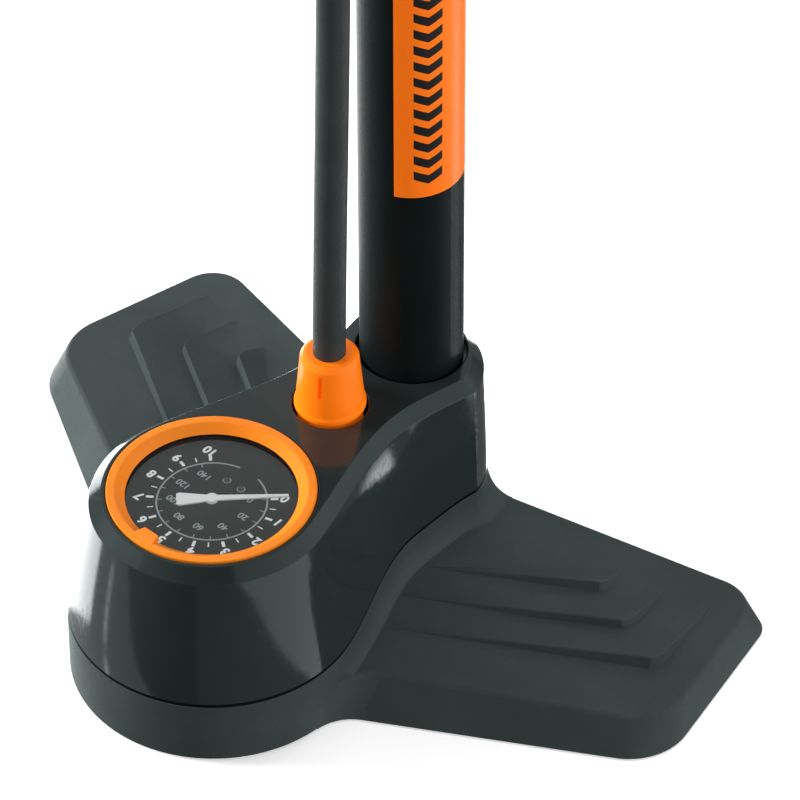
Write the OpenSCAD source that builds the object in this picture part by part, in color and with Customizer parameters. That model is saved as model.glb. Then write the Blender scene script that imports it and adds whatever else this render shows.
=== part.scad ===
// Floor bike pump. The barrel's axis is Z, the floor is Z = 0, and the gauge faces -Y.
// All sizes are in millimetres.

/* [Foot] */
// Height of the wings at their rim
wing_top_z = 12.5; // [10:0.5:14]
// Height of the parting seam between the foot and the housing
seam_z = 23.7; // [21:0.1:26]
// Wall thickness of the foot
foot_wall = 3; // [2.5:0.5:3.5]
// Height of the grip steps at their corners
grip_h = 3.4; // [2:0.1:4]

/* [Housing] */
// Height of the housing's flat top
housing_top_z = 70; // [68:0.5:72]
// Wall thickness of the housing
housing_wall = 2.5; // [2:0.5:3]
// Size of the chamfer round the top
housing_chamfer = 4; // [3:0.5:4.5]
// Distance from the barrel's axis forward to the gauge's axis
gauge_reach = 88.5; // [86:0.5:90]
// Distance from the barrel's axis forward to the hose bush
hose_reach = 36.5; // [35:0.5:38]

/* [Barrel] */
// Outer radius of the barrel
barrel_r = 16; // [15.5:0.1:16.5]
// Wall thickness of the barrel
barrel_wall = 1.3; // [1.2:0.1:1.5]
// Height of the barrel's upper end
barrel_top_z = 520; // [500:5:540]
// Height of the label's lower edge
label_z = 142; // [130:1:150]
// Height of the label's upper edge
label_top_z = 440; // [400:5:440]

/* [Piston] */
// Radius of the piston rod
rod_r = 6; // [5:0.5:6.5]
// Height of the piston's underside with the handle down
piston_z = 46; // [45:0.5:48]

/* [Handle] */
// Half of the handle's length
handle_half = 104; // [90:1:115]
// Height of the handle's bar above the barrel's upper end
handle_rise = 56; // [54:1:60]

/* [Hose] */
// Outer radius of the hose
hose_r = 5; // [4.5:0.1:5]
// Bore radius of the hose
hose_bore_r = 2.6; // [2.4:0.1:2.8]

/* [Pump head] */
// Distance from the barrel's axis back to the stored head
head_reach = 46; // [44:0.5:48]
// Height of the stored head's mouth
head_z = 276; // [260:1:300]

/* [Hidden] */
$fn = 64;

rim_z = 0.6;                    // the foot's rim stands this high on its pads
seam_gap = 0.3;
gap = 0.3;                      // clearance between parts that move past each other
fit_gap = 0.05;                 // radial clearance of a shaft in its bearing
gauge_c = [0, -gauge_reach];
hose_c = [0, -hose_reach];
barrel_bore_r = barrel_r - barrel_wall;
label_t = 0.15;

// Plan of the housing: a round front about the gauge, a waist and a round rear about the barrel.
// Each level is [front radius, waist half width, rear radius].
seam_plan = [44.8, 25.7, 27.3];
edge_plan = [37, 21.8, 26];
waist_y = -25;
rear_c = [0, -5.5];
front_end_a = 15;               // the front arc ends this far past the widest point
rear_corner_a = 13.5;           // the rear arc starts here, with a corner to the side
rear_corner_lean = 9;           // the side leans out this far where it meets that corner
front_pull = 18;
waist_pull = 17;
rear_pull = 9;
wall_levels = 6;
wall_bulge = 1.4;               // above 1 the walls stand up straighter near the seam
slope_start_y = -50;            // behind this line the top falls towards the rear
rear_slope = 0.045;

// Underneath and inside the foot
deck_z = 12;
deck_t = 3;
pad_r = 7.5;
pad_h = 2.6;
pad_places = [[0, 0], [0, -112], [108, -18], [-108, -18], [100, 14], [-100, 14]];
cover_screw_places = [[16, -22], [-16, -22], [25, -57], [-25, -57]];
cover_screw_r = 1.5;
plug_screw_ring_r = 15.8;
plug_screw_angles = [90:120:330];

// Right wing: corner circles [x, y, radius] at the top and at the rim
wing_top_corners = [[42.2, -67.1, 6], [107, -19.1, 18], [104.4, 19.2, 12], [22.3, 7, 6]];
wing_rim_corners = [[42, -78.4, 6], [109, -22.8, 20], [110.3, 26.7, 8], [21.9, 8.9, 6]];
wing_fillet_r = 15;
// Grip steps: [inner end, corner, outer end]
grip_steps = [
    [[38.6, -54.3], [111, -13.2], [106, 18.9]],
    [[32.5, -40.9], [94, -7], [90.8, 16.4]],
    [[29.3, -27], [78.3, 1.5], [75.6, 12.9]]
];
grip_corner_r = 7;

// Air passage
plug_z = deck_z + deck_t;
plug_flange_r = 18.4;
plug_flange_h = 7;
barrel_foot_z = plug_z + plug_flange_h;
spigot_h = 14;
spigot_top_z = barrel_foot_z + spigot_h;
spigot_r = barrel_bore_r - 0.1;
chamber_r = 6;
chamber_z = plug_z + 3;
seat_t = 3;
disc_r = 5;
disc_t = 1.6;
block_w = 16;
block_h = 12;
block_front_y = -95;
duct_r = 2;
duct_z = plug_z + block_h / 2;
spring_wire_r = 0.4;
spring_r = 3.4;
spring_turns = 5;

// Gauge, measured down from the top of the marker ring
ring_top_z = housing_top_z + 0.6;
ring_outer_r = 31.6;
ring_rim_in_r = 28.9;
ring_in_r = 25.95;
ring_in_z = ring_top_z - 2.4;
ring_bottom_z = ring_top_z - 4.6;
lens_top_z = ring_top_z - 2.8;
lens_t = 0.8;
gasket_t = 0.4;
case_r = 28.2;
case_wall = 1.4;
case_rim_z = lens_top_z - lens_t - gasket_t;
case_floor_z = 38;
dial_top_z = ring_top_z - 5.5;
dial_t = 0.6;
dial_r = 26.4;
needle_z = dial_top_z + 1.1;
needle_t = 0.5;
needle_start_a = 45;            // plan angle of the pointer at the scale's start
arbor_r = 0.8;
plate_t = 1.2;
plate_low_z = 47;
plate_high_z = 57;
pinion_teeth = 10;
sector_teeth = 75;              // teeth that a full circle of the sector would have
tooth_module = 0.33;
pinion_r = pinion_teeth * tooth_module / 2;
sector_r = sector_teeth * tooth_module / 2;
mesh_a = 270;                   // plan angle from the sector's pivot to the pinion
sector_z = 51;
sector_t = 1.6;
marker_a = 270;                 // plan angle of the marker's tab

// Hose bush
bush_base_z = housing_top_z - 6;
bush_lip_z = housing_top_z + 0.6;
bush_top_z = housing_top_z + 20.5;
bush_lip_r = 11;
bush_top_r = 8.4;
barb_z = plug_z + block_h;
barb_top_z = 62;

// Pump head, stored upside down behind the barrel
head_r = 12;
head_lip = 3;                   // thickness of the cap's lip round the mouth
gasket_r = 8;
gasket_h = 12;
valve_hole_r = 4;
press_r = gasket_r - gap;
press_h = 15;
press_top_z = head_z + head_lip + gasket_h + press_h;
head_body_z = head_z + head_lip + gasket_h + 1;
head_top_z = head_body_z + 52;
lever_w = 9;
lever_boss_r = 5;
lever_lobe = 1.1;               // the cam pushes this far
lever_pin_r = 1.6;
lever_pivot = [0, head_reach + 9, press_top_z + gap + lever_boss_r];

// Route of the hose, from inside the bush up the front of the barrel, round its side and down
// behind it to the pump head.
hose_start_z = barb_z + 6;
hose_route = [
    [0, -hose_reach, hose_start_z], [0, -hose_reach, 75], [0, -36.4, 100], [0, -35.4, 140],
    [0, -34.2, 180], [0, -33, 225], [0, -32, 280], [0, -31.5, 340], [0, -31.5, 395],
    [-4, -34, 424], [-14, -38, 450], [-28, -40, 471], [-42, -35, 486], [-53, -20, 495],
    [-57, 0, 497], [-54, 20, 491], [-45, 36, 477], [-32, 45, 457], [-18, 48, 434],
    [-7, 47, 409], [-1, head_reach, 382], [0, head_reach, head_top_z]
];
hose_sides = 10;
hose_steps = 3;

// Barrel's upper end
cap_r = 20;
cap_z = barrel_top_z - 24;
cap_top_z = barrel_top_z + 10;
bush_r = 9;
bush_len = 18;

// Piston and rod
piston_h = 20;
piston_r = barrel_bore_r - gap;
cup_h = 7;
cup_z = piston_z + 6;
rod_tail_r = 4;
washer_r = 8;
washer_t = 1.5;
nut_r = 7.5;
nut_h = 5;

// Handle
handle_z = barrel_top_z + handle_rise;
bar_r = 8;
hub_r = 15;
hub_h = 44;
hub_z = handle_z - hub_h / 2;
grip_in = 19;
grip_out = handle_half - 5;
grip_slot_r = 2;
buffer_z = cap_top_z + 1;

// Clips
clip_h = 16;
clip_t = 3;
hose_clip_z = 386;
hose_clip_y = -31.5;
head_clip_z = lever_pivot.z + lever_boss_r + 2;

// ---- helpers ----

function mix(a, b, t) = a + (b - a) * t;

function arc(c, r, a0, a1, n) =
    [for (i = [0:n]) let (a = mix(a0, a1, i / n)) c + r * [cos(a), sin(a)]];

// Points strictly between the ends of a cubic curve
function curve(p0, p1, p2, p3, n) = [
    for (i = [1:n - 1])
        let (t = i / n, u = 1 - t)
        u * u * u * p0 + 3 * u * u * t * p1 + 3 * u * t * t * p2 + t * t * t * p3
];

// Right half of the housing's outline, from its front pole to its rear pole
function housing_side(plan, inset = 0) =
    let (
        front_r = plan[0] - inset,
        waist = [plan[1] - inset, waist_y],
        rear_r = plan[2] - inset,
        front_end = gauge_c + front_r * [cos(front_end_a), sin(front_end_a)],
        front_dir = [-sin(front_end_a), cos(front_end_a)],
        corner = rear_c + rear_r * [cos(rear_corner_a), sin(rear_corner_a)],
        corner_dir = [sin(rear_corner_lean), cos(rear_corner_lean)]
    )
    concat(
        arc(gauge_c, front_r, -90, front_end_a, 14),
        curve(front_end, front_end + front_pull * front_dir, waist - [0, waist_pull], waist, 6),
        [waist],
        curve(waist, waist + [0, rear_pull], corner - rear_pull * corner_dir, corner, 6),
        arc(rear_c, rear_r, rear_corner_a, 90, 10)
    );

// Closes a half outline with its mirror image
function whole(side) =
    concat(side, [for (i = [len(side) - 2:-1:1]) [-side[i].x, side[i].y]]);

function top_at(y, drop = 0) =
    housing_top_z - drop - rear_slope * max(0, y - slope_start_y);

function level_plan(t) = mix(seam_plan, edge_plan, pow(t, wall_bulge));

// One ring of the housing's wall, t from 0 at the seam to 1 at the chamfer's lower edge
function wall_ring(t, inset, drop, base_z) = [
    for (p = whole(housing_side(level_plan(t), inset)))
        [p.x, p.y, mix(base_z, top_at(p.y, drop) - housing_chamfer, t)]
];

function top_ring(inset, drop) = [
    for (p = whole(housing_side(edge_plan, inset + housing_chamfer)))
        [p.x, p.y, top_at(p.y, drop)]
];

// Triangles that cap ring number k of n points, in strips across the housing
function cap_faces(k, n, up) =
    let (
        s = k * n,
        half = n / 2,
        strips = concat(
            [[s, s + 1, s + n - 1]],
            [for (i = [1:half - 2]) [s + i, s + i + 1, s + n - i - 1]],
            [for (i = [1:half - 2]) [s + i, s + n - i - 1, s + n - i]],
            [[s + half - 1, s + half, s + half + 1]]
        )
    )
    up ? [for (f = strips) [f[2], f[1], f[0]]] : strips;

// Triangles of the wall between ring k and the ring after it
function wall_faces(k, n) = [
    for (i = [0:n - 1])
        let (a = k * n + i, b = k * n + (i + 1) % n)
        each [[a, b + n, b], [a, a + n, b + n]]
];

module housing_solid(inset, drop, base_z) {
    rings = concat(
        [for (i = [0:wall_levels]) wall_ring(i / wall_levels, inset, drop, base_z)],
        [top_ring(inset, drop)]
    );
    n = len(rings[0]);
    last = len(rings) - 1;
    polyhedron(
        [for (ring = rings) each ring],
        concat(
            cap_faces(0, n, false),
            [for (k = [0:last - 1]) each wall_faces(k, n)],
            cap_faces(last, n, true)
        )
    );
}

function unit(v) = v / norm(v);

// Points on a smooth curve through the route, with the given steps to each stretch
function smooth_route(p, steps) =
    let (n = len(p))
    concat(
        [
            for (i = [0:n - 2], j = [0:steps - 1])
                let (
                    a = p[max(i - 1, 0)], b = p[i], c = p[i + 1], d = p[min(i + 2, n - 1)],
                    t = j / steps
                )
                0.5 * (2 * b + (c - a) * t + (2 * a - 5 * b + 4 * c - d) * t * t
                    + (3 * b - a - 3 * c + d) * t * t * t)
        ],
        [p[n - 1]]
    );

// Direction across the path at each point, carried along it so that the tube doesn't twist
function carried(path, i, last) =
    i >= len(path) - 1 ? [last, last]
    : let (
        dir = unit(path[i + 1] - path[max(i - 1, 0)]),
        side = unit(last - (last * dir) * dir)
    )
    concat([side], carried(path, i + 1, side));

module tube_along(path, r, sides, start_side) {
    across = carried(path, 0, start_side);
    n = len(path);
    points = [
        for (i = [0:n - 1])
            let (
                dir = unit(path[min(i + 1, n - 1)] - path[max(i - 1, 0)]),
                u = unit(across[i] - (across[i] * dir) * dir),
                v = cross(dir, u)
            )
            for (k = [0:sides - 1])
                let (a = 360 * k / sides)
                path[i] + r * (cos(a) * u + sin(a) * v)
    ];
    polyhedron(
        points,
        concat(
            [[for (k = [0:sides - 1]) k]],
            [
                for (i = [0:n - 2], k = [0:sides - 1])
                    let (a = i * sides + k, b = i * sides + (k + 1) % sides)
                    each [[a, b + sides, b], [a, a + sides, b + sides]]
            ],
            [[for (k = [sides - 1:-1:0]) (n - 1) * sides + k]]
        )
    );
}

module ring_at(z, h, r_out, r_in) {
    translate([0, 0, z])
        difference() {
            cylinder(h = h, r = r_out);
            translate([0, 0, -1]) cylinder(h = h + 2, r = r_in);
        }
}

module at(p) {
    translate([p.x, p.y, 0]) children();
}

module pan_screw(z, head_r, head_h, shank_r, shank_h) {
    translate([0, 0, z - head_h])
        difference() {
            cylinder(h = head_h, r = head_r);
            translate([0, 0, -1]) cylinder(h = 1 + head_h / 2, r = head_r / 2, $fn = 6);
        }
    translate([0, 0, z]) cylinder(h = shank_h, r = shank_r);
}

// ---- foot ----

module housing_block(inset, z0, z1) {
    translate([0, 0, z0])
        linear_extrude(z1 - z0) polygon(whole(housing_side(seam_plan, inset)));
}

module wing_hull(inset, z_low, z_high) {
    slice = 0.2;
    hull() {
        for (c = wing_rim_corners)
            translate([c.x, c.y, z_low]) cylinder(h = slice, r = c.z - inset, $fn = 32);
        for (c = wing_top_corners)
            translate([c.x, c.y, z_high - slice]) cylinder(h = slice, r = c.z - inset, $fn = 32);
    }
}

// Concave corner between the round front and a wing's front edge
module wing_web() {
    low = wing_rim_corners[0];
    high = wing_rim_corners[1];
    chord = [high.x - low.x, high.y - low.y];
    edge_a = atan2(chord.y, chord.x) - asin((high.z - low.z) / norm(chord));
    along = [cos(edge_a), sin(edge_a)];
    out = [sin(edge_a), -cos(edge_a)];
    on_edge = [low.x, low.y] + low.z * out;
    reach = seam_plan[0] + wing_fillet_r;
    w = on_edge + wing_fillet_r * out - gauge_c;
    t = -(w * along) + sqrt(pow(w * along, 2) - w * w + reach * reach);
    fillet_c = on_edge + t * along + wing_fillet_r * out;
    tangent = fillet_c - wing_fillet_r * out;
    translate([0, 0, rim_z])
        linear_extrude(wing_top_z - rim_z)
            difference() {
                polygon([gauge_c, fillet_c, tangent, tangent - foot_wall * 3 * out]);
                translate(fillet_c) circle(r = wing_fillet_r);
            }
}

// A grip step: it sinks into the wing along the line between its ends and is highest at its corner
module grip_step(step) {
    sunk = 0.3;
    start = step[0];
    corner = step[1];
    finish = step[2];
    base = finish - start;
    base_a = atan2(base.y, base.x);
    rise_w = abs(cross(base, corner - start)) / norm(base);
    in_a = unit(start - corner);
    in_b = unit(finish - corner);
    half_a = acos(in_a * in_b) / 2;
    arc_c = corner + unit(in_a + in_b) * grip_corner_r / sin(half_a);
    arc_start_a = atan2(in_a.x, -in_a.y);
    arc_end_a = atan2(-in_b.x, in_b.y);
    intersection() {
        translate([0, 0, wing_top_z - 1])
            linear_extrude(grip_h + 2)
                polygon(concat(
                    [start],
                    arc(arc_c, grip_corner_r, arc_start_a, arc_end_a, 8),
                    [finish]
                ));
        translate([start.x, start.y, wing_top_z - sunk])
            rotate([0, 0, base_a])
                rotate([-atan2(grip_h + sunk, rise_w), 0, 0])
                    translate([-10, -60, -20]) cube([160, 120, 20]);
    }
}

module wing() {
    wing_hull(0, rim_z, wing_top_z);
    wing_web();
    for (step = grip_steps) grip_step(step);
}

module wing_hollow() {
    difference() {
        wing_hull(foot_wall, -1, wing_top_z - foot_wall);
        // Ribs that stay across the hollow
        for (x = [62, 90]) translate([x, -80, -2]) cube([foot_wall - 1, 130, wing_top_z]);
        translate([20, -8, -2]) cube([120, foot_wall - 1, wing_top_z]);
        for (p = pad_places) at(p) translate([0, 0, -2]) cylinder(h = wing_top_z, r = pad_r + 2);
    }
}

module foot_base() {
    color([0.22, 0.26, 0.25])
        difference() {
            union() {
                housing_block(0, rim_z, seam_z - seam_gap);
                wing();
                mirror([1, 0, 0]) wing();
            }
            wing_hollow();
            mirror([1, 0, 0]) wing_hollow();
            difference() {
                housing_block(foot_wall, -1, deck_z);
                for (p = [pad_places[0], pad_places[1]])
                    at(p) translate([0, 0, -2]) cylinder(h = deck_z + 3, r = pad_r + 2);
            }
            housing_block(foot_wall, deck_z + deck_t, seam_z + 1);
            for (p = pad_places) at(p) translate([0, 0, -1]) cylinder(h = 1 + pad_h, r = pad_r);
            for (p = cover_screw_places)
                at(p) translate([0, 0, deck_z - 1]) cylinder(h = deck_t + 2, r = cover_screw_r);
            for (a = plug_screw_angles)
                rotate(a) translate([plug_screw_ring_r, 0, deck_z - 1])
                    cylinder(h = deck_t + 2, r = cover_screw_r);
        }
}

module foot_pads() {
    color([0.08, 0.08, 0.08])
        for (p = pad_places) at(p) cylinder(h = pad_h, r = pad_r);
}

// ---- housing ----

module top_cover() {
    boss_r = 3.6;
    boss_z = 34;
    color([0.1, 0.13, 0.13])
        difference() {
            union() {
                difference() {
                    housing_solid(0, 0, seam_z);
                    housing_solid(housing_wall, housing_wall, seam_z - 1);
                }
                // Screw bosses that reach down to the foot's deck
                intersection() {
                    for (p = cover_screw_places)
                        at(p) translate([0, 0, deck_z + deck_t]) cylinder(h = 60, r = boss_r);
                    union() {
                        housing_solid(1, 1, seam_z);
                        translate([0, 0, deck_z]) for (p = cover_screw_places)
                            at(p) cylinder(h = boss_z, r = boss_r + 1);
                    }
                }
            }
            cylinder(h = housing_top_z + 10, r = barrel_r + 1.1);
            at(hose_c) translate([0, 0, seam_z]) cylinder(h = 60, r = bush_lip_r + 0.6);
            at(gauge_c) translate([0, 0, seam_z]) cylinder(h = 60, r = ring_outer_r + gap);
            for (p = cover_screw_places)
                at(p) translate([0, 0, deck_z]) cylinder(h = boss_z - deck_z, r = cover_screw_r);
        }
}

module cover_screws() {
    color("silver")
        for (p = cover_screw_places)
            at(p) pan_screw(deck_z, 3, 2.4, cover_screw_r, 18);
}

// ---- barrel and air passage ----

module barrel() {
    color([0.06, 0.07, 0.07])
        ring_at(barrel_foot_z, barrel_top_z - barrel_foot_z, barrel_r, barrel_bore_r, $fn = 96);
}

module barrel_label() {
    half_a = 66;
    color([0.93, 0.45, 0.1])
        translate([0, 0, label_z])
            rotate([0, 0, -half_a])
                rotate_extrude(angle = 2 * half_a, $fn = 96)
                    translate([barrel_r, 0]) square([label_t, label_top_z - label_z]);
}

module barrel_plug() {
    groove_z = spigot_top_z - 5;
    color([0.16, 0.17, 0.17])
        difference() {
            union() {
                translate([0, 0, plug_z]) cylinder(h = plug_flange_h, r = plug_flange_r);
                translate([0, 0, barrel_foot_z]) cylinder(h = spigot_h, r = spigot_r);
            }
            ring_at(groove_z, 2.6, spigot_r + 1, spigot_r - 2.2);
            translate([0, 0, chamber_z]) cylinder(h = 60, r = chamber_r);
            translate([0, 0, duct_z]) rotate([90, 0, 0]) cylinder(h = 40, r = duct_r);
            // Flat that the air block is seated on
            translate([-30, -60 - 17, plug_z - 1]) cube([60, 60, plug_flange_h + 1]);
            for (a = plug_screw_angles)
                rotate(a) translate([plug_screw_ring_r, 0, plug_z - 1])
                    cylinder(h = 6, r = cover_screw_r);
        }
}

module plug_o_ring() {
    color([0.05, 0.05, 0.05])
        translate([0, 0, spigot_top_z - 5 + 1.3])
            rotate_extrude() translate([spigot_r - 1.1, 0]) circle(r = 1.1, $fn = 24);
}

module plug_screws() {
    color("silver")
        for (a = plug_screw_angles)
            rotate(a) translate([plug_screw_ring_r, 0, 0])
                pan_screw(deck_z, 3, 2.4, cover_screw_r, 7.5);
}

module valve_seat() {
    color("goldenrod")
        ring_at(spigot_top_z - seat_t, seat_t, chamber_r, 2.2);
}

module valve_disc() {
    color([0.1, 0.1, 0.1])
        translate([0, 0, spigot_top_z - seat_t - disc_t]) {
            cylinder(h = disc_t, r = disc_r);
            translate([0, 0, -2]) cylinder(h = 2, r = 2);
        }
}

module valve_spring() {
    low = chamber_z + spring_wire_r;
    high = spigot_top_z - seat_t - disc_t - spring_wire_r;
    steps = spring_turns * 14;
    coil = [
        for (i = [0:steps])
            let (a = 360 * spring_turns * i / steps)
            [spring_r * cos(a), spring_r * sin(a), mix(low, high, i / steps)]
    ];
    color("silver") tube_along(coil, spring_wire_r, 6, [1, 0, 0]);
}

module air_block() {
    color([0.16, 0.17, 0.17])
        difference() {
            translate([-block_w / 2, block_front_y, plug_z])
                cube([block_w, -17 - block_front_y, block_h]);
            translate([0, -16, duct_z]) rotate([90, 0, 0])
                cylinder(h = -block_front_y - 16 - 4, r = duct_r);
            at(hose_c) translate([0, 0, duct_z]) cylinder(h = block_h, r = 4);
            at(gauge_c) translate([0, 0, duct_z]) cylinder(h = block_h, r = 5);
        }
}

module hose_barb() {
    tail = 4;
    color("goldenrod")
        at(hose_c)
            difference() {
                union() {
                    translate([0, 0, barb_z - tail]) cylinder(h = tail, r = 4);
                    translate([0, 0, barb_z]) cylinder(h = 4, r = 6, $fn = 6);
                    translate([0, 0, barb_z]) cylinder(h = barb_top_z - barb_z, r = hose_bore_r);
                }
                translate([0, 0, barb_z - 10]) cylinder(h = 60, r = 1.2);
            }
}

module barb_ferrule() {
    color("silver")
        at(hose_c) ring_at(hose_start_z + 1, 16, hose_r + 1, hose_r);
}

module hose_bush() {
    notch_w = 1.2;
    color([0.95, 0.5, 0.1])
        at(hose_c)
            difference() {
                rotate_extrude()
                    polygon([
                        [0, bush_base_z], [bush_lip_r - 1, bush_base_z],
                        [bush_lip_r - 1, bush_lip_z - 1.2],
                        [bush_lip_r - 0.5, bush_lip_z - 1.2], [bush_lip_r, bush_lip_z - 0.4],
                        [bush_lip_r, bush_lip_z + 0.6], [bush_lip_r - 0.5, bush_lip_z + 1.6],
                        [bush_top_r + 0.6, bush_top_z - 1.6], [bush_top_r - 0.4, bush_top_z - 0.4],
                        [bush_top_r - 1.4, bush_top_z], [0, bush_top_z]
                    ]);
                translate([0, 0, bush_base_z - 1]) cylinder(h = 60, r = hose_r);
                // Mould notch in the side
                rotate(-66) translate([bush_top_r + 0.2, -notch_w / 2, bush_top_z - 11])
                    cube([4, notch_w, 8]);
            }
}

module hose() {
    color([0.2, 0.23, 0.22])
        tube_along(smooth_route(hose_route, hose_steps), hose_r, hose_sides, [1, 0, 0]);
}

// ---- gauge ----

module gauge_case() {
    color([0.12, 0.13, 0.13])
        at(gauge_c)
            difference() {
                translate([0, 0, case_floor_z])
                    cylinder(h = case_rim_z - case_floor_z, r = case_r, $fn = 96);
                translate([0, 0, case_floor_z + 2])
                    cylinder(h = 60, r = case_r - case_wall, $fn = 96);
                translate([0, 0, case_floor_z - 1]) cylinder(h = 4, r = 5);
            }
}

module gauge_socket() {
    color("goldenrod")
        at(gauge_c) {
            translate([0, 0, duct_z])
                difference() {
                    cylinder(h = plate_low_z - duct_z, r = 5);
                    translate([0, 0, -1]) cylinder(h = 20, r = 1.4);
                }
            // Arm that feeds the fixed end of the curved tube
            translate([0, -3, case_floor_z + 2.2]) cube([20, 6, 4]);
            translate([17, -3, case_floor_z + 2.2]) cube([3, 6, 11]);
        }
}

module bourdon_tube() {
    tube_r = 18.5;
    color("goldenrod")
        at(gauge_c)
            translate([0, 0, case_floor_z + 9])
                rotate([0, 0, 10])
                    difference() {
                        rotate_extrude(angle = 250, $fn = 96)
                            translate([tube_r - 1.2, 0]) square([2.4, 8]);
                        rotate([0, 0, 2])
                            rotate_extrude(angle = 246, $fn = 96)
                                translate([tube_r - 0.7, 1]) square([1.4, 6]);
                    }
}

module gauge_movement() {
    plate_w = 11;
    plate_len = 20;
    pivot_y = sector_r + pinion_r;
    color("goldenrod")
        at(gauge_c) {
            for (z = [plate_low_z, plate_high_z])
                translate([0, 0, z])
                    difference() {
                        translate([-plate_w / 2, -4, 0]) cube([plate_w, plate_len, plate_t]);
                        translate([0, 0, -1]) cylinder(h = 4, r = arbor_r + fit_gap);
                        translate([0, pivot_y, -1]) cylinder(h = 4, r = arbor_r + fit_gap);
                    }
            for (x = [-1, 1])
                translate([x * (plate_w / 2 - 1), -3, plate_low_z + plate_t])
                    cylinder(h = plate_high_z - plate_low_z - plate_t, r = 1);
        }
}

// A straight, thin tooth that stands on a gear's rim
module tooth(pitch_r) {
    low_r = pitch_r - tooth_module * 1.6;
    high_r = pitch_r + tooth_module * 0.8;
    translate([low_r, -tooth_module / 2, 0]) cube([high_r - low_r, tooth_module, sector_t]);
}

module sector_gear() {
    pivot_y = sector_r + pinion_r;
    pitch_a = 360 / sector_teeth;
    root_r = sector_r - tooth_module * 1.1;
    swing_a = 270 * pinion_teeth / sector_teeth;
    rim_over_a = 8;
    rim_w = 1.6;
    spoke_w = 1.6;
    color("goldenrod")
        at(gauge_c + [0, pivot_y]) {
            translate([0, 0, plate_low_z])
                cylinder(h = plate_high_z + plate_t - plate_low_z, r = arbor_r);
            translate([0, 0, sector_z]) {
                cylinder(h = sector_t, r = 2);
                rotate(mesh_a - swing_a - rim_over_a)
                    rotate_extrude(angle = swing_a + 2 * rim_over_a, $fn = 96)
                        translate([root_r - rim_w, 0]) square([rim_w, sector_t]);
                for (a = [0, swing_a])
                    rotate(mesh_a - a) translate([0, -spoke_w / 2, 0])
                        cube([root_r - rim_w / 2, spoke_w, sector_t]);
                for (i = [-1:swing_a / pitch_a + 1])
                    rotate(mesh_a - (i - 0.5) * pitch_a) tooth(sector_r);
            }
        }
}

module gauge_needle() {
    root_r = pinion_r - tooth_module * 1.1;
    color("white")
        at(gauge_c) {
            translate([0, 0, plate_low_z])
                cylinder(h = needle_z + needle_t - plate_low_z, r = arbor_r);
            translate([0, 0, needle_z - 0.5]) cylinder(h = needle_t + 0.6, r = 1.9);
            rotate(needle_start_a)
                translate([0, 0, needle_z])
                    linear_extrude(needle_t)
                        polygon([
                            [-10.6, -2.2], [-9.6, -2.6], [0, -1.1], [23, -0.45],
                            [23, 0.45], [0, 1.1], [-9.6, 2.6], [-10.6, 2.2]
                        ]);
            // Pinion on the pointer's arbor
            translate([0, 0, sector_z]) {
                cylinder(h = sector_t, r = root_r);
                for (i = [0:pinion_teeth - 1])
                    rotate(90 + 360 * i / pinion_teeth) tooth(pinion_r);
            }
        }
}

module dial_plate() {
    color([0.2, 0.23, 0.22])
        at(gauge_c)
            translate([0, 0, dial_top_z - dial_t])
                difference() {
                    cylinder(h = dial_t, r = dial_r, $fn = 96);
                    translate([0, 0, -1]) cylinder(h = 3, r = arbor_r + gap);
                }
}

module dial_screws() {
    color("dimgray")
        at(gauge_c)
            for (x = [-2.9, 2.9])
                translate([x, 9.6, 0]) {
                    translate([0, 0, dial_top_z]) cylinder(h = 0.3, r = 1);
                    translate([0, 0, plate_high_z + plate_t])
                        cylinder(h = dial_top_z - dial_t - plate_high_z - plate_t, r = 1);
                }
}

module gauge_gasket() {
    color([0.05, 0.05, 0.05])
        at(gauge_c) ring_at(case_rim_z, gasket_t, case_r, case_r - case_wall, $fn = 96);
}

module gauge_lens() {
    color([0.8, 0.9, 0.95, 0.3])
        at(gauge_c)
            translate([0, 0, lens_top_z - lens_t]) cylinder(h = lens_t, r = case_r, $fn = 96);
}

module marker_ring() {
    tab_len = 4.2;
    tab_half_w = 3.4;
    color([0.96, 0.52, 0.12])
        at(gauge_c) {
            rotate_extrude($fn = 96)
                polygon([
                    [ring_in_r, ring_in_z], [ring_rim_in_r, ring_top_z],
                    [ring_outer_r - 0.4, ring_top_z], [ring_outer_r, ring_top_z - 0.4],
                    [ring_outer_r, ring_bottom_z], [case_r + gap + 0.1, ring_bottom_z],
                    [case_r + gap + 0.1, lens_top_z + gap], [ring_in_r, lens_top_z + gap]
                ]);
            // Tab that points at the wanted pressure
            rotate(marker_a)
                translate([0, 0, lens_top_z + gap])
                    linear_extrude(ring_top_z - lens_top_z - gap - 0.4)
                        polygon([
                            [ring_rim_in_r + 0.6, -tab_half_w], [ring_rim_in_r + 0.6, tab_half_w],
                            [ring_in_r - 0.6, tab_half_w - 0.8],
                            [ring_in_r - tab_len + 1.6, 0],
                            [ring_in_r - 0.6, -tab_half_w + 0.8]
                        ]);
        }
}

// ---- barrel's upper end, rod and piston ----

module barrel_cap() {
    color([0.12, 0.14, 0.14])
        difference() {
            rotate_extrude($fn = 96)
                polygon([
                    [barrel_r, cap_z], [cap_r - 1.5, cap_z], [cap_r, cap_z + 1.5],
                    [cap_r, cap_top_z - 5], [cap_r - 5, cap_top_z], [0, cap_top_z],
                    [0, barrel_top_z], [barrel_r, barrel_top_z]
                ]);
            translate([0, 0, barrel_top_z - 1]) cylinder(h = 20, r = bush_r - 2);
            // Grip flutes round the collar
            for (a = [0:30:330])
                rotate(a) translate([cap_r + 1.4, 0, cap_z + 4]) cylinder(h = 20, r = 2.4);
        }
}

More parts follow.
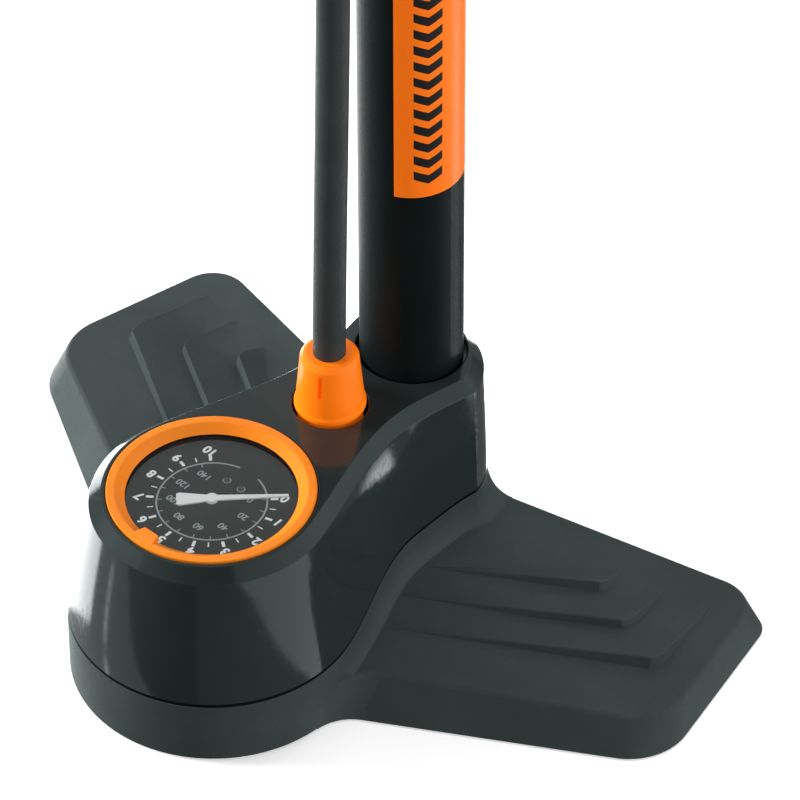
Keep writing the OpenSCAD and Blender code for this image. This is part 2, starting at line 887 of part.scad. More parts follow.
module rod_bush() {
    color([0.85, 0.85, 0.82])
        translate([0, 0, barrel_top_z])
            difference() {
                union() {
                    translate([0, 0, -3]) cylinder(h = 3, r = barrel_bore_r);
                    translate([0, 0, 3 - bush_len]) cylinder(h = bush_len - 3, r = bush_r);
                    cylinder(h = cap_top_z - barrel_top_z - 2, r = bush_r - 2);
                }
                translate([0, 0, -bush_len]) cylinder(h = 60, r = rod_r + fit_gap);
            }
}

module piston_rod() {
    shoulder_z = piston_z + piston_h + gap;
    tail_z = piston_z - gap - washer_t - nut_h - 1;
    color("gainsboro") {
        translate([0, 0, shoulder_z]) cylinder(h = handle_z + 8 - shoulder_z, r = rod_r);
        translate([0, 0, tail_z]) cylinder(h = shoulder_z - tail_z, r = rod_tail_r);
    }
}

module piston() {
    color([0.3, 0.3, 0.32])
        difference() {
            translate([0, 0, piston_z]) cylinder(h = piston_h, r = piston_r, $fn = 96);
            ring_at(cup_z, cup_h, piston_r + 1, piston_r - 3.4, $fn = 96);
            translate([0, 0, piston_z - 1]) cylinder(h = piston_h + 2, r = rod_tail_r + fit_gap);
        }
}

module piston_cup() {
    lip_t = 1.2;
    color([0.06, 0.06, 0.06])
        rotate_extrude($fn = 96)
            polygon([
                [piston_r - 3.4, cup_z + cup_h], [piston_r - 3.4, cup_z + 4.5],
                [barrel_bore_r - fit_gap - lip_t, cup_z], [barrel_bore_r - fit_gap, cup_z],
                [barrel_bore_r - fit_gap, cup_z + 5], [piston_r - 0.5, cup_z + cup_h]
            ]);
}

module piston_washer() {
    color("silver")
        ring_at(piston_z - gap - washer_t, washer_t, washer_r, rod_tail_r);
}

module piston_nut() {
    color("silver")
        translate([0, 0, piston_z - gap - washer_t - nut_h])
            difference() {
                cylinder(h = nut_h, r = nut_r, $fn = 6);
                translate([0, 0, -1]) cylinder(h = nut_h + 2, r = rod_tail_r);
            }
}

module stop_buffer() {
    color([0.06, 0.06, 0.06])
        rotate_extrude()
            polygon([
                [rod_r, buffer_z], [rod_r + 3, buffer_z], [rod_r + 4, buffer_z + 2],
                [rod_r + 4, hub_z - 2], [rod_r + 3, hub_z], [rod_r, hub_z]
            ]);
}

// ---- handle ----

module handle_core() {
    bolt_seat = 6;
    color([0.12, 0.14, 0.14])
        difference() {
            union() {
                rotate_extrude()
                    polygon([
                        [0, hub_z], [hub_r - 4, hub_z], [hub_r - 2, hub_z + 3],
                        [hub_r, hub_z + 14], [hub_r, hub_z + hub_h - 6],
                        [hub_r - 4, hub_z + hub_h], [0, hub_z + hub_h]
                    ]);
                translate([-grip_out, 0, handle_z])
                    rotate([0, 90, 0]) cylinder(h = 2 * grip_out, r = bar_r);
            }
            translate([0, 0, hub_z - 1]) cylinder(h = handle_z + 8 - hub_z + 1, r = rod_r);
            translate([0, 0, handle_z]) cylinder(h = 40, r = 2.5);
            translate([0, 0, hub_z + hub_h - bolt_seat]) cylinder(h = 10, r = 6);
        }
}

// Soft grip, thicker under the palm, on the +X side
module grip() {
    length = grip_out - grip_in;
    steps = 12;
    color([0.2, 0.22, 0.22])
        translate([grip_in, 0, handle_z])
            rotate([0, 90, 0])
                difference() {
                    rotate_extrude()
                        polygon(concat(
                            [[bar_r, 0]],
                            [
                                for (i = [0:steps])
                                    let (t = i / steps)
                                    [13.2 + 2.4 * sin(180 * t) + 1.6 * cos(360 * t), length * t]
                            ],
                            [[bar_r, length]]
                        ));
                    for (t = [0.2:0.1:0.8])
                        translate([0, 0, length * t])
                            rotate_extrude() translate([17.6, 0]) circle(r = grip_slot_r, $fn = 24);
                }
}

module grip_right() {
    grip();
}

module grip_left() {
    mirror([1, 0, 0]) grip();
}

module grip_end_caps() {
    cap_t = handle_half - grip_out;
    color([0.95, 0.5, 0.1])
        for (m = [0, 1])
            mirror([m, 0, 0])
                translate([grip_out, 0, handle_z])
                    rotate([0, 90, 0])
                        rotate_extrude()
                            polygon([
                                [0, 0], [14.4, 0], [14.4, cap_t - 2.4],
                                [12.8, cap_t - 0.6], [10, cap_t], [0, cap_t]
                            ]);
}

module handle_bolt() {
    seat_z = hub_z + hub_h - 6;
    color("silver")
        difference() {
            union() {
                translate([0, 0, seat_z]) cylinder(h = 4, r = 5);
                translate([0, 0, handle_z + 8]) cylinder(h = seat_z - handle_z - 8, r = 2.5);
            }
            translate([0, 0, seat_z + 1.6]) cylinder(h = 4, r = 2.4, $fn = 6);
        }
}

// ---- clips ----

// Band round the barrel
module clip_band(z) {
    ring_at(z, clip_h, barrel_r + clip_t, barrel_r + label_t);
}

// Open jaw round something at p, open on the side away from the barrel
module clip_jaw(p, z, r_in, mouth_a) {
    dir = unit(p);
    arm = norm(p) - r_in - barrel_r;
    difference() {
        union() {
            rotate(atan2(dir.y, dir.x))
                translate([barrel_r + 0.5, -4, z]) cube([arm + 1.5, 8, clip_h]);
            translate([p.x, p.y, z]) cylinder(h = clip_h, r = r_in + clip_t);
        }
        translate([p.x, p.y, z - 1]) cylinder(h = clip_h + 2, r = r_in);
        cylinder(h = z + clip_h + 1, r = barrel_r + label_t);
        translate([p.x, p.y, z - 1])
            rotate(atan2(dir.y, dir.x) - mouth_a)
                rotate_extrude(angle = 2 * mouth_a) square([r_in + clip_t + 2, clip_h + 2]);
    }
}

module hose_clip() {
    color([0.12, 0.14, 0.14]) {
        clip_band(hose_clip_z);
        clip_jaw([0, hose_clip_y], hose_clip_z, hose_r, 55);
    }
}

module head_clip() {
    color([0.12, 0.14, 0.14]) {
        clip_band(head_clip_z);
        clip_jaw([0, head_reach], head_clip_z, head_r, 60);
    }
}

module clip_screws() {
    color("silver")
        for (z = [hose_clip_z, head_clip_z])
            translate([barrel_r + clip_t, 0, z + clip_h / 2])
                rotate([0, 90, 0]) cylinder(h = 1.6, r = 2.6);
}

// ---- pump head ----

module head_ferrule() {
    color("silver")
        at([0, head_reach]) ring_at(head_top_z - 3.5, 18, hose_r + 1.2, hose_r);
}

// Cylinder along X through the lever's pivot
module at_pivot(half_len, r) {
    translate([-half_len, lever_pivot.y, lever_pivot.z])
        rotate([0, 90, 0]) cylinder(h = 2 * half_len, r = r);
}

module head_body() {
    slot_w = lever_w + 2 * gap;
    slot_z = press_top_z - 1.5;
    slot_top_z = lever_pivot.z + 9.2;
    slot_y = lever_pivot.y - lever_boss_r - lever_lobe - gap;
    ear_r = lever_boss_r + 1;
    ear_half_w = 7.5;
    shoulder_z = head_top_z - 4;
    color([0.12, 0.14, 0.14])
        difference() {
            union() {
                at([0, head_reach])
                    rotate_extrude()
                        polygon([
                            [0, head_body_z], [head_r, head_body_z], [head_r, shoulder_z - 6],
                            [head_r - 1, shoulder_z - 3], [head_r - 5, shoulder_z],
                            [hose_r, shoulder_z], [hose_r, head_top_z], [0, head_top_z]
                        ]);
                // Ears that hold the lever's pin
                at_pivot(ear_half_w, ear_r);
                translate([-ear_half_w, head_reach, lever_pivot.z - ear_r])
                    cube([2 * ear_half_w, lever_pivot.y - head_reach, 2 * ear_r]);
            }
            // Chamber of the gasket and its press, and the air's way to it
            at([0, head_reach]) {
                translate([0, 0, head_z]) cylinder(h = press_top_z + 0.5 - head_z, r = gasket_r + 1);
                translate([0, 0, head_z]) cylinder(h = head_top_z + 1 - head_z, r = 1.6);
            }
            translate([-slot_w / 2, slot_y, slot_z]) cube([slot_w, 40, slot_top_z - slot_z]);
            at_pivot(20, lever_pin_r);
        }
}

module head_gasket() {
    color([0.06, 0.06, 0.06])
        at([0, head_reach]) ring_at(head_z + head_lip, gasket_h, gasket_r, valve_hole_r);
}

module head_press() {
    color("gainsboro")
        at([0, head_reach]) ring_at(press_top_z - press_h, press_h, press_r, 2.4);
}

module head_cap() {
    color([0.95, 0.5, 0.1])
        at([0, head_reach])
            difference() {
                rotate_extrude()
                    polygon([
                        [valve_hole_r + 1, head_z], [gasket_r + 1, head_z],
                        [head_r, head_z + 3], [head_r, head_body_z],
                        [gasket_r, head_body_z], [gasket_r, head_z + head_lip],
                        [valve_hole_r + 1, head_z + head_lip]
                    ]);
                for (a = [0:30:330])
                    rotate(a) translate([head_r + 0.9, 0, head_z + 4]) cylinder(h = 20, r = 1.6);
            }
}

module head_lever() {
    arm_t = 4;
    arm_y = lever_pivot.y + 4.5;
    arm_tip_z = head_z + 6;
    color([0.95, 0.5, 0.1])
        difference() {
            union() {
                at_pivot(lever_w / 2, lever_boss_r);
                translate([0, -lever_lobe, 0]) at_pivot(lever_w / 2, lever_boss_r);
                // Arm that hangs down along the back of the head
                translate([-lever_w / 2, lever_pivot.y, lever_pivot.z - 3.5])
                    cube([lever_w, arm_y + arm_t - lever_pivot.y, 5.5]);
                translate([-lever_w / 2, arm_y, arm_tip_z])
                    cube([lever_w, arm_t, lever_pivot.z - arm_tip_z]);
            }
            at_pivot(20, lever_pin_r + fit_gap);
        }
}

module lever_pin() {
    color("silver") at_pivot(7.5, lever_pin_r);
}

foot_base();
foot_pads();
top_cover();
cover_screws();
barrel();
barrel_label();
barrel_plug();
plug_o_ring();
plug_screws();
valve_seat();
valve_disc();
valve_spring();
air_block();
hose_barb();
barb_ferrule();
hose_bush();
hose();
gauge_case();
gauge_socket();
bourdon_tube();
gauge_movement();
sector_gear();
gauge_needle();
dial_plate();
dial_screws();
gauge_gasket();
gauge_lens();
marker_ring();
barrel_cap();
rod_bush();
piston_rod();
piston();
piston_cup();
piston_washer();
piston_nut();
stop_buffer();
handle_core();
grip_left();
grip_right();
grip_end_caps();
handle_bolt();
hose_clip();
head_clip();
clip_screws();
head_ferrule();
head_body();
head_gasket();
head_press();
head_cap();
head_lever();
lever_pin();
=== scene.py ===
"""Looks of the floor bike pump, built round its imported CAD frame.

The barrel's axis is Z, the floor is Z = 0 and the gauge faces -Y. Shapes are worked out in
millimetres, as the design is, and become metres when a mesh is made.
"""

import math

import bmesh
import bpy
from mathutils import Matrix, Vector


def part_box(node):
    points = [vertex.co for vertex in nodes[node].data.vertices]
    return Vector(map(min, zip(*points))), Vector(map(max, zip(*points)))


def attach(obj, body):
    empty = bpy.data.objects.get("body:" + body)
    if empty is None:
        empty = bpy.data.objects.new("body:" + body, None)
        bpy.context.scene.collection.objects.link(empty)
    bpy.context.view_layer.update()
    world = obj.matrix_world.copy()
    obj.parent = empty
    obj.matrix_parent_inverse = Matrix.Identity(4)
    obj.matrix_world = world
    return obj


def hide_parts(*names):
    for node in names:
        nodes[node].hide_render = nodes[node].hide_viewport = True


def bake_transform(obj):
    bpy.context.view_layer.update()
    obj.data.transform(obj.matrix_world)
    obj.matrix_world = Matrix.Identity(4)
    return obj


MM = 0.001

# Heights of the foot and the housing
BELOW_Z = -2.0  # cutting solids reach this far below the floor
RIM_Z = 0.6  # the foot's rim, above its pads
WING_TOP_Z = 12.5
DECK_Z = 12.0  # underside of the deck inside the skirt
DECK_TOP_Z = 15.0
FOOT_TOP_Z = 22.6
SEAM_Z = 23.75  # lower edge of the housing
HOUSING_TOP_Z = 70.0
FOOT_WALL = 3.0
HOUSING_WALL = 2.5
CHAMFER = 4.0
SLOPE_START_Y = -50.0  # the top falls towards the rear behind this line
REAR_SLOPE = 0.045
BEND_CUTS = (-3.0, 0.0, 3.0)  # edges across the shell, from that line
SEAM_ROUNDING = 0.25  # edge rounding of the housing's outside and inside
INNER_ROUNDING = 0.1
SKIRT_ROUNDING = 0.6
WALL_LEVELS = 14
# Groove in the seam and the dark strip of painted shade in it, as distances inside the outline
GROOVE_IN = 0.25
GROOVE_OUT = 2.4
GROOVE_Z = 21.2
SHADE_STRIP_IN = 0.3
SHADE_STRIP_T = 1.0

# Plan of the housing: a round front about the gauge, a waist and a round rear about the barrel.
# Each level is (front radius, waist half width, rear radius).
GAUGE_Y = -88.5
HOSE_Y = -36.5
SEAM_PLAN = (44.8, 25.7, 27.3)
EDGE_PLAN = (37.0, 21.8, 26.0)
WAIST_Y = -25.0
REAR_Y = -5.5
FRONT_END_A = 15.0  # the front arc ends this far past the widest point
REAR_CORNER_A = 13.5  # the rear arc starts here, with a corner to the side
REAR_CORNER_LEAN = 9.0
FRONT_PULL, WAIST_PULL, REAR_PULL = 18.0, 17.0, 9.0
WALL_BULGE = 1.4  # above 1 the walls stand straighter near the seam

# Openings in the housing's top: (y of the centre, radius, rounding of the lip)
TOP_HOLES = ((GAUGE_Y, 31.9, 0.3), (HOSE_Y, 11.6, 0.5), (0.0, 17.1, 0.5))

# Right wing: corner circles (x, y, radius) at the top and at the rim
WING_TOP_CORNERS = ((42.2, -67.1, 6.0), (107.0, -19.1, 18.0), (104.4, 19.2, 12.0), (22.3, 7.0, 6.0))
WING_RIM_CORNERS = ((42.0, -78.4, 6.0), (109.0, -22.8, 20.0), (110.3, 26.7, 8.0), (21.9, 8.9, 6.0))
# Plan between the skirt's waist and the wing, which the flare covers too
FLARE_ROOT = ((8.0, -64.0), (40.0, -64.0), (24.0, 4.0), (8.0, 4.0))
FRONT_WEB_R = 15.0
REAR_WEB_R = 7.0
WING_EDGE_R = 1.1
# The flare starts this far inside the skirt and ends this far below its top
FLARE_SUNK = 0.3
FLARE_DROP = 0.5
FLARE_BACK = 2.0
FLARE_STEPS = 9
FLARE_UNDER = 0.05  # its foot lies this far below the wing's top
COVER_Z, COVER_INSET = 11.0, 0.3
FLARE_ROOT_Z, FLARE_ROOT_OVER = 10.6, 0.4
WEB_DEPTH = 9.0  # the webs reach this far into the wing
# How far the skirt spreads onto the wings: (y, reach)
FLARE_REACH = ((-75.0, 3.0), (-50.0, 4.2), (-8.0, 4.2), (12.0, 8.5))
PAD_PLACES = ((0, 0), (0, -112), (108, -18), (-108, -18), (100, 14), (-100, 14))
PAD_R = 7.5
PAD_H = 2.6
PAD_WALL = 2.0
WING_RIBS = ((62, -80, 2, 130), (90, -80, 2, 130), (20, -8, 120, 2))  # (x, y, width, depth)
COVER_SCREW_R = 1.5
COVER_SCREW_PLACES = ((16, -22), (-16, -22), (25, -57), (-25, -57))
GRIP_STEPS = (
    ((38.6, -54.3), (111.0, -13.2), (106.0, 18.9)),
    ((32.5, -40.9), (94.0, -7.0), (90.8, 16.4)),
    ((29.3, -27.0), (78.3, 1.5), (75.6, 12.9)),
)
GRIP_H = 4.0
GRIP_SUNK = 0.05  # the ridge's chord lies this far below the wing's top
GRIP_CORNER_R = 8.5
GRIP_CREASE_A = 32.0  # the corner's round starts with a crease, this far in
GRIP_DRAFT = 0.28  # the ridge's wall spreads by this share of its height
GRIP_SPREAD = 0.2  # and by this much more
GRIP_ROOT = 0.5  # its foot lies this far below the wing's top
GRIP_ROUNDING = 0.3
GRIP_FULL_H = 1.2  # from this height up the rounding has its full size
GRIP_LEAST_H = 0.02

# Gauge
RING_TOP_Z = 70.6
RING_OUTER_R = 31.6
RING_RIM_IN_R = 28.9
RING_IN_R = 25.95
RING_IN_Z = 68.2
RING_BOTTOM_Z = 66.0
RING_UNDER_Z = 68.1
RING_UNDER_R = 28.6
RING_ROUNDING = 0.45
TAB_PLAN = ((3.9, -29.6), (-4.4, -29.6), (-3.0, -25.3), (2.5, -25.3))
TAB_MIDDLE = (0.0, -27.5)
TAB_LEVELS = ((0, 68.15), (0, 70.5), (-0.1, 70.7), (-0.3, 70.8))
PRINT_Z = 65.14  # printed layer, just above the dial
SCALE_START_A = 45.0
SCALE_SWEEP = 270.0
OUTER_TICKS = 20
OUTER_TICK_R = (17.6, 19.9, 19.5)  # inner end, outer end, outer end of a half step
OUTER_TICK_W = (0.95, 0.4)
OUTER_NUMBER_R, OUTER_NUMBER_H, OUTER_BOLD = 21.9, 4.3, 0.04
CIRCLE_R, CIRCLE_W = 16.6, 0.55
CIRCLE_SPAN = (-0.1185, 1.1185)  # its ends, as shares of the scale
INNER_SWEEP = 0.965  # the inner scale ends at this share of the outer one
INNER_TICKS = 14
INNER_TICK_R = (15.0, 16.5)
INNER_TICK_W = 0.3
INNER_NUMBER_R, INNER_NUMBER_H, INNER_BOLD = 11.5, 3.2, 0.025
DIAL_SCREWS_AT = (2.9, 9.6)
SCREW_CIRCLE_R, SCREW_CIRCLE_W = 1.15, 0.3

# Check valve spring
SPRING_WIRE_R = 0.4
SPRING_TURNS = 5

# Barrel, hose and bush
BARREL_R = 16.0
LABEL_T = 0.15
LABEL_Z = 142.0
CHEVRON_ROWS = 46
CHEVRON_PITCH, CHEVRON_T, CHEVRON_SLANT = 6.0, 3.3, 2.2
CHEVRON_FROM_A, CHEVRON_TO_A, CHEVRON_STEPS = -45.0, -13.0, 10
PRINT_GAP = 0.03  # printed bars stand this far off the label
HOSE_R = 5.0
HOSE_ROUTE = (
    (0, -36.5, 33), (0, -36.5, 75), (0, -36.4, 100), (0, -35.4, 140), (0, -34.2, 180),
    (0, -33, 225), (0, -32, 280), (0, -31.5, 340), (0, -31.5, 395), (-4, -34, 424),
    (-14, -38, 450), (-28, -40, 471), (-42, -35, 486), (-53, -20, 495), (-57, 0, 497),
    (-54, 20, 491), (-45, 36, 477), (-32, 45, 457), (-18, 48, 434), (-7, 47, 409),
    (-1, 46, 382), (0, 46, 344),
)

# Studio. Sky levels by height, from straight down at 0 to straight up at 1.
SKY_LEVELS = (
    (0.0, 0.05), (0.47, 0.08), (0.58, 0.3), (0.66, 0.85), (0.78, 0.7), (0.9, 0.25), (1.0, 0.4),
)
# Panels of light: (edges, strength), in degrees. An edge (a, b, c) keeps the side where
# a * bearing + b * height is more than c.
PANELS = (
    (((1, 0, 112), (-1, 0, -206), (-1, 5.7, -400), (0, -1, 5)), 4.6),
    (((1, 0, 150), (-1, -1.33, -213.5), (0, -1, 5), (0, 1, -60)), 0.42),
    (((1, 0, 222), (-1, 0, -226), (0, -1, 24), (0, 1, -33)), 1.5),
    (((1, 0, 222), (-1, 0, -226), (0, -1, 36), (0, 1, -41)), 1.5),
    (((1, 2.08, 306.5), (-1, 0, -400), (0, -1, 12), (0, 1, -60)), 1.0),
    (((1, 0, 418), (-1, 0, -432), (0, -1, 38), (0, 1, -48)), 6.0),
    (((1, 0, 418), (-1, 0, -432), (0, -1, 32.5), (0, 1, -37)), 3.0),
    (((1, 0, 245), (-1, 0, -335), (0, 1, 2), (0, -1, -50)), -0.4),
    (((1, 0, 300), (0, -1, 5), (0, 1, -60)), 0.12),
)
BEARING_CUT = 110.0  # the count of bearings starts here
PANEL_EDGE = 1.2  # softness of a panel's edges
# Lamps: (name, place, target, size, power)
SOFTBOXES = (
    ("key_left", (-1.55, -1.0, 0.52), (0, -0.04, 0.05), (0.7, 0.7), 68),
    ("top", (-0.2, 0.5, 2.2), (0, 0, 0.1), (1.0, 1.0), 17),
    ("right_fill", (1.7, 0.1, 0.55), (0, -0.02, 0.05), (0.5, 0.6), 17),
)
FLOOR_HALF = 6.0
FLOOR_GLOW = 0.35

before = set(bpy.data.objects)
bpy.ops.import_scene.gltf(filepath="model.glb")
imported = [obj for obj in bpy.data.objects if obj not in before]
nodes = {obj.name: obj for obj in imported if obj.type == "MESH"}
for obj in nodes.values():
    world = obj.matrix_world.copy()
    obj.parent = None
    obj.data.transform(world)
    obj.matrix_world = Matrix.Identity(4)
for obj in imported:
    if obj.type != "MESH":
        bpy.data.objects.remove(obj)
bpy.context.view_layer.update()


# ---- materials ----

def fill(tree, node, **inputs):
    """Gives each named input its value, or links it where the value is a node's output."""
    for name, value in inputs.items():
        socket = node.inputs[name.replace("_", " ")]
        if isinstance(value, bpy.types.NodeSocket):
            tree.links.new(value, socket)
        else:
            socket.default_value = value


def new_node(tree, kind, **inputs):
    node = tree.nodes.new("ShaderNode" + kind)
    fill(tree, node, **inputs)
    return node


def shader_of(name, colour, roughness, metallic=0.0, specular=0.5):
    """A new material with one Principled shader: (material, its node tree, the shader)."""
    material = bpy.data.materials.new(name)
    material.use_nodes = True
    tree = material.node_tree
    shader = tree.nodes["Principled BSDF"]
    fill(
        tree, shader, Base_Color=(*srgb(colour), 1.0), Roughness=roughness, Metallic=metallic,
        Specular_IOR_Level=specular,
    )
    return material, tree, shader


def srgb(colour):
    """Screen colour, 0 to 255, as linear light."""
    made = []
    for value in colour:
        share = value / 255
        made.append(share / 12.92 if share <= 0.04045 else ((share + 0.055) / 1.055) ** 2.4)
    return tuple(made)


def noise(tree, scale, detail=2.0, stretch=(1, 1, 1)):
    """Noise in the object's own metres, stretched along its axes."""
    place = new_node(tree, "TexCoord").outputs["Object"]
    spot = new_node(tree, "Mapping", Vector=place, Scale=stretch).outputs["Vector"]
    return new_node(tree, "TexNoise", Vector=spot, Scale=scale, Detail=detail).outputs["Fac"]


def ranged(tree, source, low, high, from_low=0.3, from_high=0.7):
    """The source's values spread between low and high."""
    return new_node(
        tree, "MapRange", Value=source, From_Min=from_low, From_Max=from_high,
        To_Min=low, To_Max=high,
    ).outputs["Result"]


def bump(tree, shader, source, strength, distance):
    """The source stands out of the surface, its full height in metres being the distance."""
    node = new_node(tree, "Bump", Strength=strength, Distance=distance, Height=source)
    fill(tree, shader, Normal=node.outputs["Normal"])


def tinted(tree, shader, source, low, high):
    """The base colour varies between two screen colours."""
    ramp = new_node(tree, "ValToRGB", Fac=source)
    for element, position, colour in zip(ramp.color_ramp.elements, (0.3, 0.7), (low, high)):
        element.position = position
        element.color = (*srgb(colour), 1.0)
    fill(tree, shader, Base_Color=ramp.outputs["Color"])


def grained(name, low, high, grain, depth, roughness, specular=0.5):
    """Moulded plastic or rubber: fine grain, slight tint and sheen changes."""
    mean = [(a + b) / 2 for a, b in zip(low, high)]
    material, tree, shader = shader_of(name, mean, roughness, 0.0, specular)
    fine = noise(tree, grain, 3.0)
    broad = noise(tree, 45.0, 2.0)
    tinted(tree, shader, broad, low, high)
    fill(tree, shader, Roughness=ranged(tree, fine, roughness - 0.06, roughness + 0.06))
    bump(tree, shader, fine, 0.35, depth)
    return material


def cool_sheen(material):
    """Reflections slightly green-blue, as off dark tinted plastic."""
    tree = material.node_tree
    fill(tree, tree.nodes["Principled BSDF"], Specular_Tint=(0.82, 1.0, 0.99, 1.0))
    return material


def foot_plastic():
    return cool_sheen(grained(
        "foot_plastic_fine", (54, 62, 61), (60, 69, 68), 1500.0, 0.0002, 0.62, 0.35
    ))


def housing_plastic():
    return cool_sheen(grained(
        "housing_plastic_satin", (36, 43, 43), (39, 46, 46), 700.0, 0.000002, 0.11, 0.5
    ))


def orange_plastic():
    return grained("orange_plastic_satin", (234, 126, 20), (240, 134, 26), 900.0, 0.00003, 0.36)


def glowing(material, colour, strength):
    """Adds a glow in that colour: painted light that makes the surface brighter than the lamps make
    it.
    """
    tree = material.node_tree
    shader = tree.nodes["Principled BSDF"]
    fill(tree, shader, Emission_Color=(*srgb(colour), 1.0), Emission_Strength=strength)
    return material


# Orange of the hose's bush, with a painted glow that lifts it brighter than the lamps make it.
def bush_plastic():
    made = grained("bush_orange_painted_glow", (252, 122, 10), (255, 128, 14), 900.0, 0.00003, 0.36)
    return glowing(made, (255, 110, 6), 0.23)


# Orange label film, with a painted glow that lifts it brighter than the lamps make it.
def label_orange():
    made = grained("label_film_painted_glow", (250, 118, 20), (254, 124, 26), 700.0, 0.00002, 0.38, 0.2)
    return glowing(made, (255, 108, 10), 0.2)


def print_black():
    return grained("print_black", (24, 24, 24), (30, 30, 29), 900.0, 0.00001, 0.45, 0.4)


def black_paint():
    return cool_sheen(grained(
        "black_paint_satin", (13, 21, 21), (17, 25, 25), 1300.0, 0.00003, 0.48, 0.13
    ))


def hose_rubber():
    material, tree, shader = shader_of("hose_rubber_ribbed", (50, 58, 58), 0.6, 0.0, 0.35)
    fine = noise(tree, 900.0, 2.0)
    tinted(tree, shader, noise(tree, 60.0), (46, 54, 54), (54, 62, 62))
    fill(tree, shader, Roughness=ranged(tree, fine, 0.5, 0.66))
    bump(tree, shader, fine, 0.5, 0.00018)
    return material


def black_plastic():
    return grained("black_plastic_satin", (38, 42, 42), (43, 47, 47), 1200.0, 0.0001, 0.45, 0.5)


def inner_plastic():
    return grained("inner_plastic", (50, 50, 52), (58, 58, 60), 900.0, 0.0001, 0.55)


def piston_nylon():
    return grained("piston_nylon", (130, 130, 135), (142, 142, 146), 900.0, 0.00006, 0.5)


def natural_nylon():
    return grained("natural_nylon", (218, 216, 208), (226, 224, 217), 900.0, 0.00006, 0.45)


def pad_rubber():
    return grained("pad_rubber", (42, 42, 42), (50, 50, 50), 1100.0, 0.0002, 0.8, 0.3)


def seal_rubber():
    return grained("seal_rubber", (38, 38, 38), (46, 46, 46), 900.0, 0.00006, 0.6, 0.4)


def grip_rubber():
    """Soft grip with rows of small raised dots."""
    material, tree, shader = shader_of("grip_rubber_dotted", (56, 60, 60), 0.7, 0.0, 0.35)
    place = new_node(tree, "TexCoord").outputs["Object"]
    cells = new_node(tree, "TexVoronoi", Vector=place, Scale=420.0, Randomness=0.12)
    dots = ranged(tree, cells.outputs["Distance"], 1.0, 0.0, 0.25, 0.5)
    tinted(tree, shader, noise(tree, 60.0), (52, 56, 56), (60, 64, 64))
    bump(tree, shader, dots, 0.6, 0.0004)
    return material


def lined_metal(name, colour, grain, stretch, low, high, strength, depth):
    """Bare metal with fine lines, its roughness between low and high."""
    material, tree, shader = shader_of(name, colour, high, 1.0)
    lines = noise(tree, grain, 3.0, (1, 1, stretch))
    fill(tree, shader, Roughness=ranged(tree, lines, low, high))
    bump(tree, shader, lines, strength, depth)
    return material


def zinc_steel():
    return lined_metal("zinc_steel", (200, 202, 204), 300.0, 8, 0.26, 0.42, 0.2, 0.00004)


def spring_steel():
    material, tree, shader = shader_of("spring_steel", (188, 190, 192), 0.28, 1.0)
    fill(tree, shader, Roughness=ranged(tree, noise(tree, 800.0), 0.2, 0.36))
    return material


def chrome_rod():
    return lined_metal("chrome_rod", (225, 226, 228), 120.0, 12, 0.07, 0.16, 0.1, 0.00001)


def brass():
    return lined_metal("brass_turned", (214, 178, 104), 260.0, 14, 0.22, 0.4, 0.2, 0.00003)


# White paint of the needle, with a painted glow that lifts it brighter than the lamps make it.
def needle_white():
    made = grained("needle_white_painted_glow", (246, 247, 245), (251, 252, 250), 900.0, 0.00001, 0.4)
    return glowing(made, (255, 255, 255), 0.3)


def dial_dark():
    return grained("dial_dark_matt", (38, 45, 45), (42, 49, 49), 1800.0, 0.00002, 0.6, 0.35)


def dial_metal():
    return grained("dial_metal_dark", (66, 74, 74), (74, 82, 82), 900.0, 0.00001, 0.4, 0.5)


# White dial print, with a painted glow that lifts it brighter than the lamps make it.
def dial_white():
    made = grained("dial_print_white_painted_glow", (248, 250, 249), (253, 254, 253), 900.0, 0.00001, 0.5)
    return glowing(made, (255, 255, 255), 0.3)


# Grey dial print, with a weaker painted glow that lifts it brighter than the lamps make it.
def dial_grey():
    made = grained("dial_print_grey_painted_glow", (176, 186, 186), (184, 194, 194), 900.0, 0.00001, 0.5)
    return glowing(made, (200, 210, 210), 0.12)


def lens():
    """Clear acrylic that lets lamps through, with its own soft gloss."""
    material = bpy.data.materials.new("lens_clear")
    material.use_nodes = True
    tree = material.node_tree
    tree.nodes.clear()
    clear = new_node(tree, "BsdfTransparent", Color=(0.97, 0.98, 0.98, 1.0))
    haze = ranged(tree, noise(tree, 300.0), 0.02, 0.06)
    gloss = new_node(tree, "BsdfGlossy", Roughness=haze)
    fresnel = new_node(tree, "Fresnel", IOR=1.3)
    both = new_node(tree, "MixShader", Fac=fresnel.outputs["Fac"])
    tree.links.new(clear.outputs["BSDF"], both.inputs[1])
    tree.links.new(gloss.outputs["BSDF"], both.inputs[2])
    new_node(tree, "OutputMaterial", Surface=both.outputs["Shader"])
    return material


# One function for each of the design's slots, by the slot's name
MAKERS = (
    foot_plastic, housing_plastic, orange_plastic, black_paint, label_orange, black_plastic,
    inner_plastic, piston_nylon, natural_nylon, pad_rubber, seal_rubber, grip_rubber,
    hose_rubber, zinc_steel, spring_steel, chrome_rod, brass, needle_white, dial_dark,
    dial_metal, lens,
)
LOOKS = {make.__name__: make() for make in MAKERS}


def dress_nodes():
    """Every CAD node takes the detailed material of its slot."""
    for node in nodes.values():
        for index, old in enumerate(node.data.materials):
            node.material_slots[index].material = LOOKS[old.name.split(".")[0]]


dress_nodes()
# The hose's bush takes the orange with a painted glow.
nodes["hose_bush"].material_slots[0].material = bush_plastic()


# ---- mesh helpers ----

def mix(a, b, t):
    return a + (b - a) * t


def polar(centre, radius, angle_deg):
    """Point of a circle in plan."""
    angle = math.radians(angle_deg)
    return (centre[0] + radius * math.cos(angle), centre[1] + radius * math.sin(angle))


def plan_arc(centre, radius, start, end, count):
    """Points of an arc in plan, angles in degrees."""
    return [polar(centre, radius, mix(start, end, step / count)) for step in range(count + 1)]


def level(outline, z):
    """A plan outline as points at one height."""
    return [(x, y, z) for x, y in outline]


def circle(centre, radius, z, sides):
    return level(plan_arc(centre, radius, 0, 360, sides)[:-1], z)


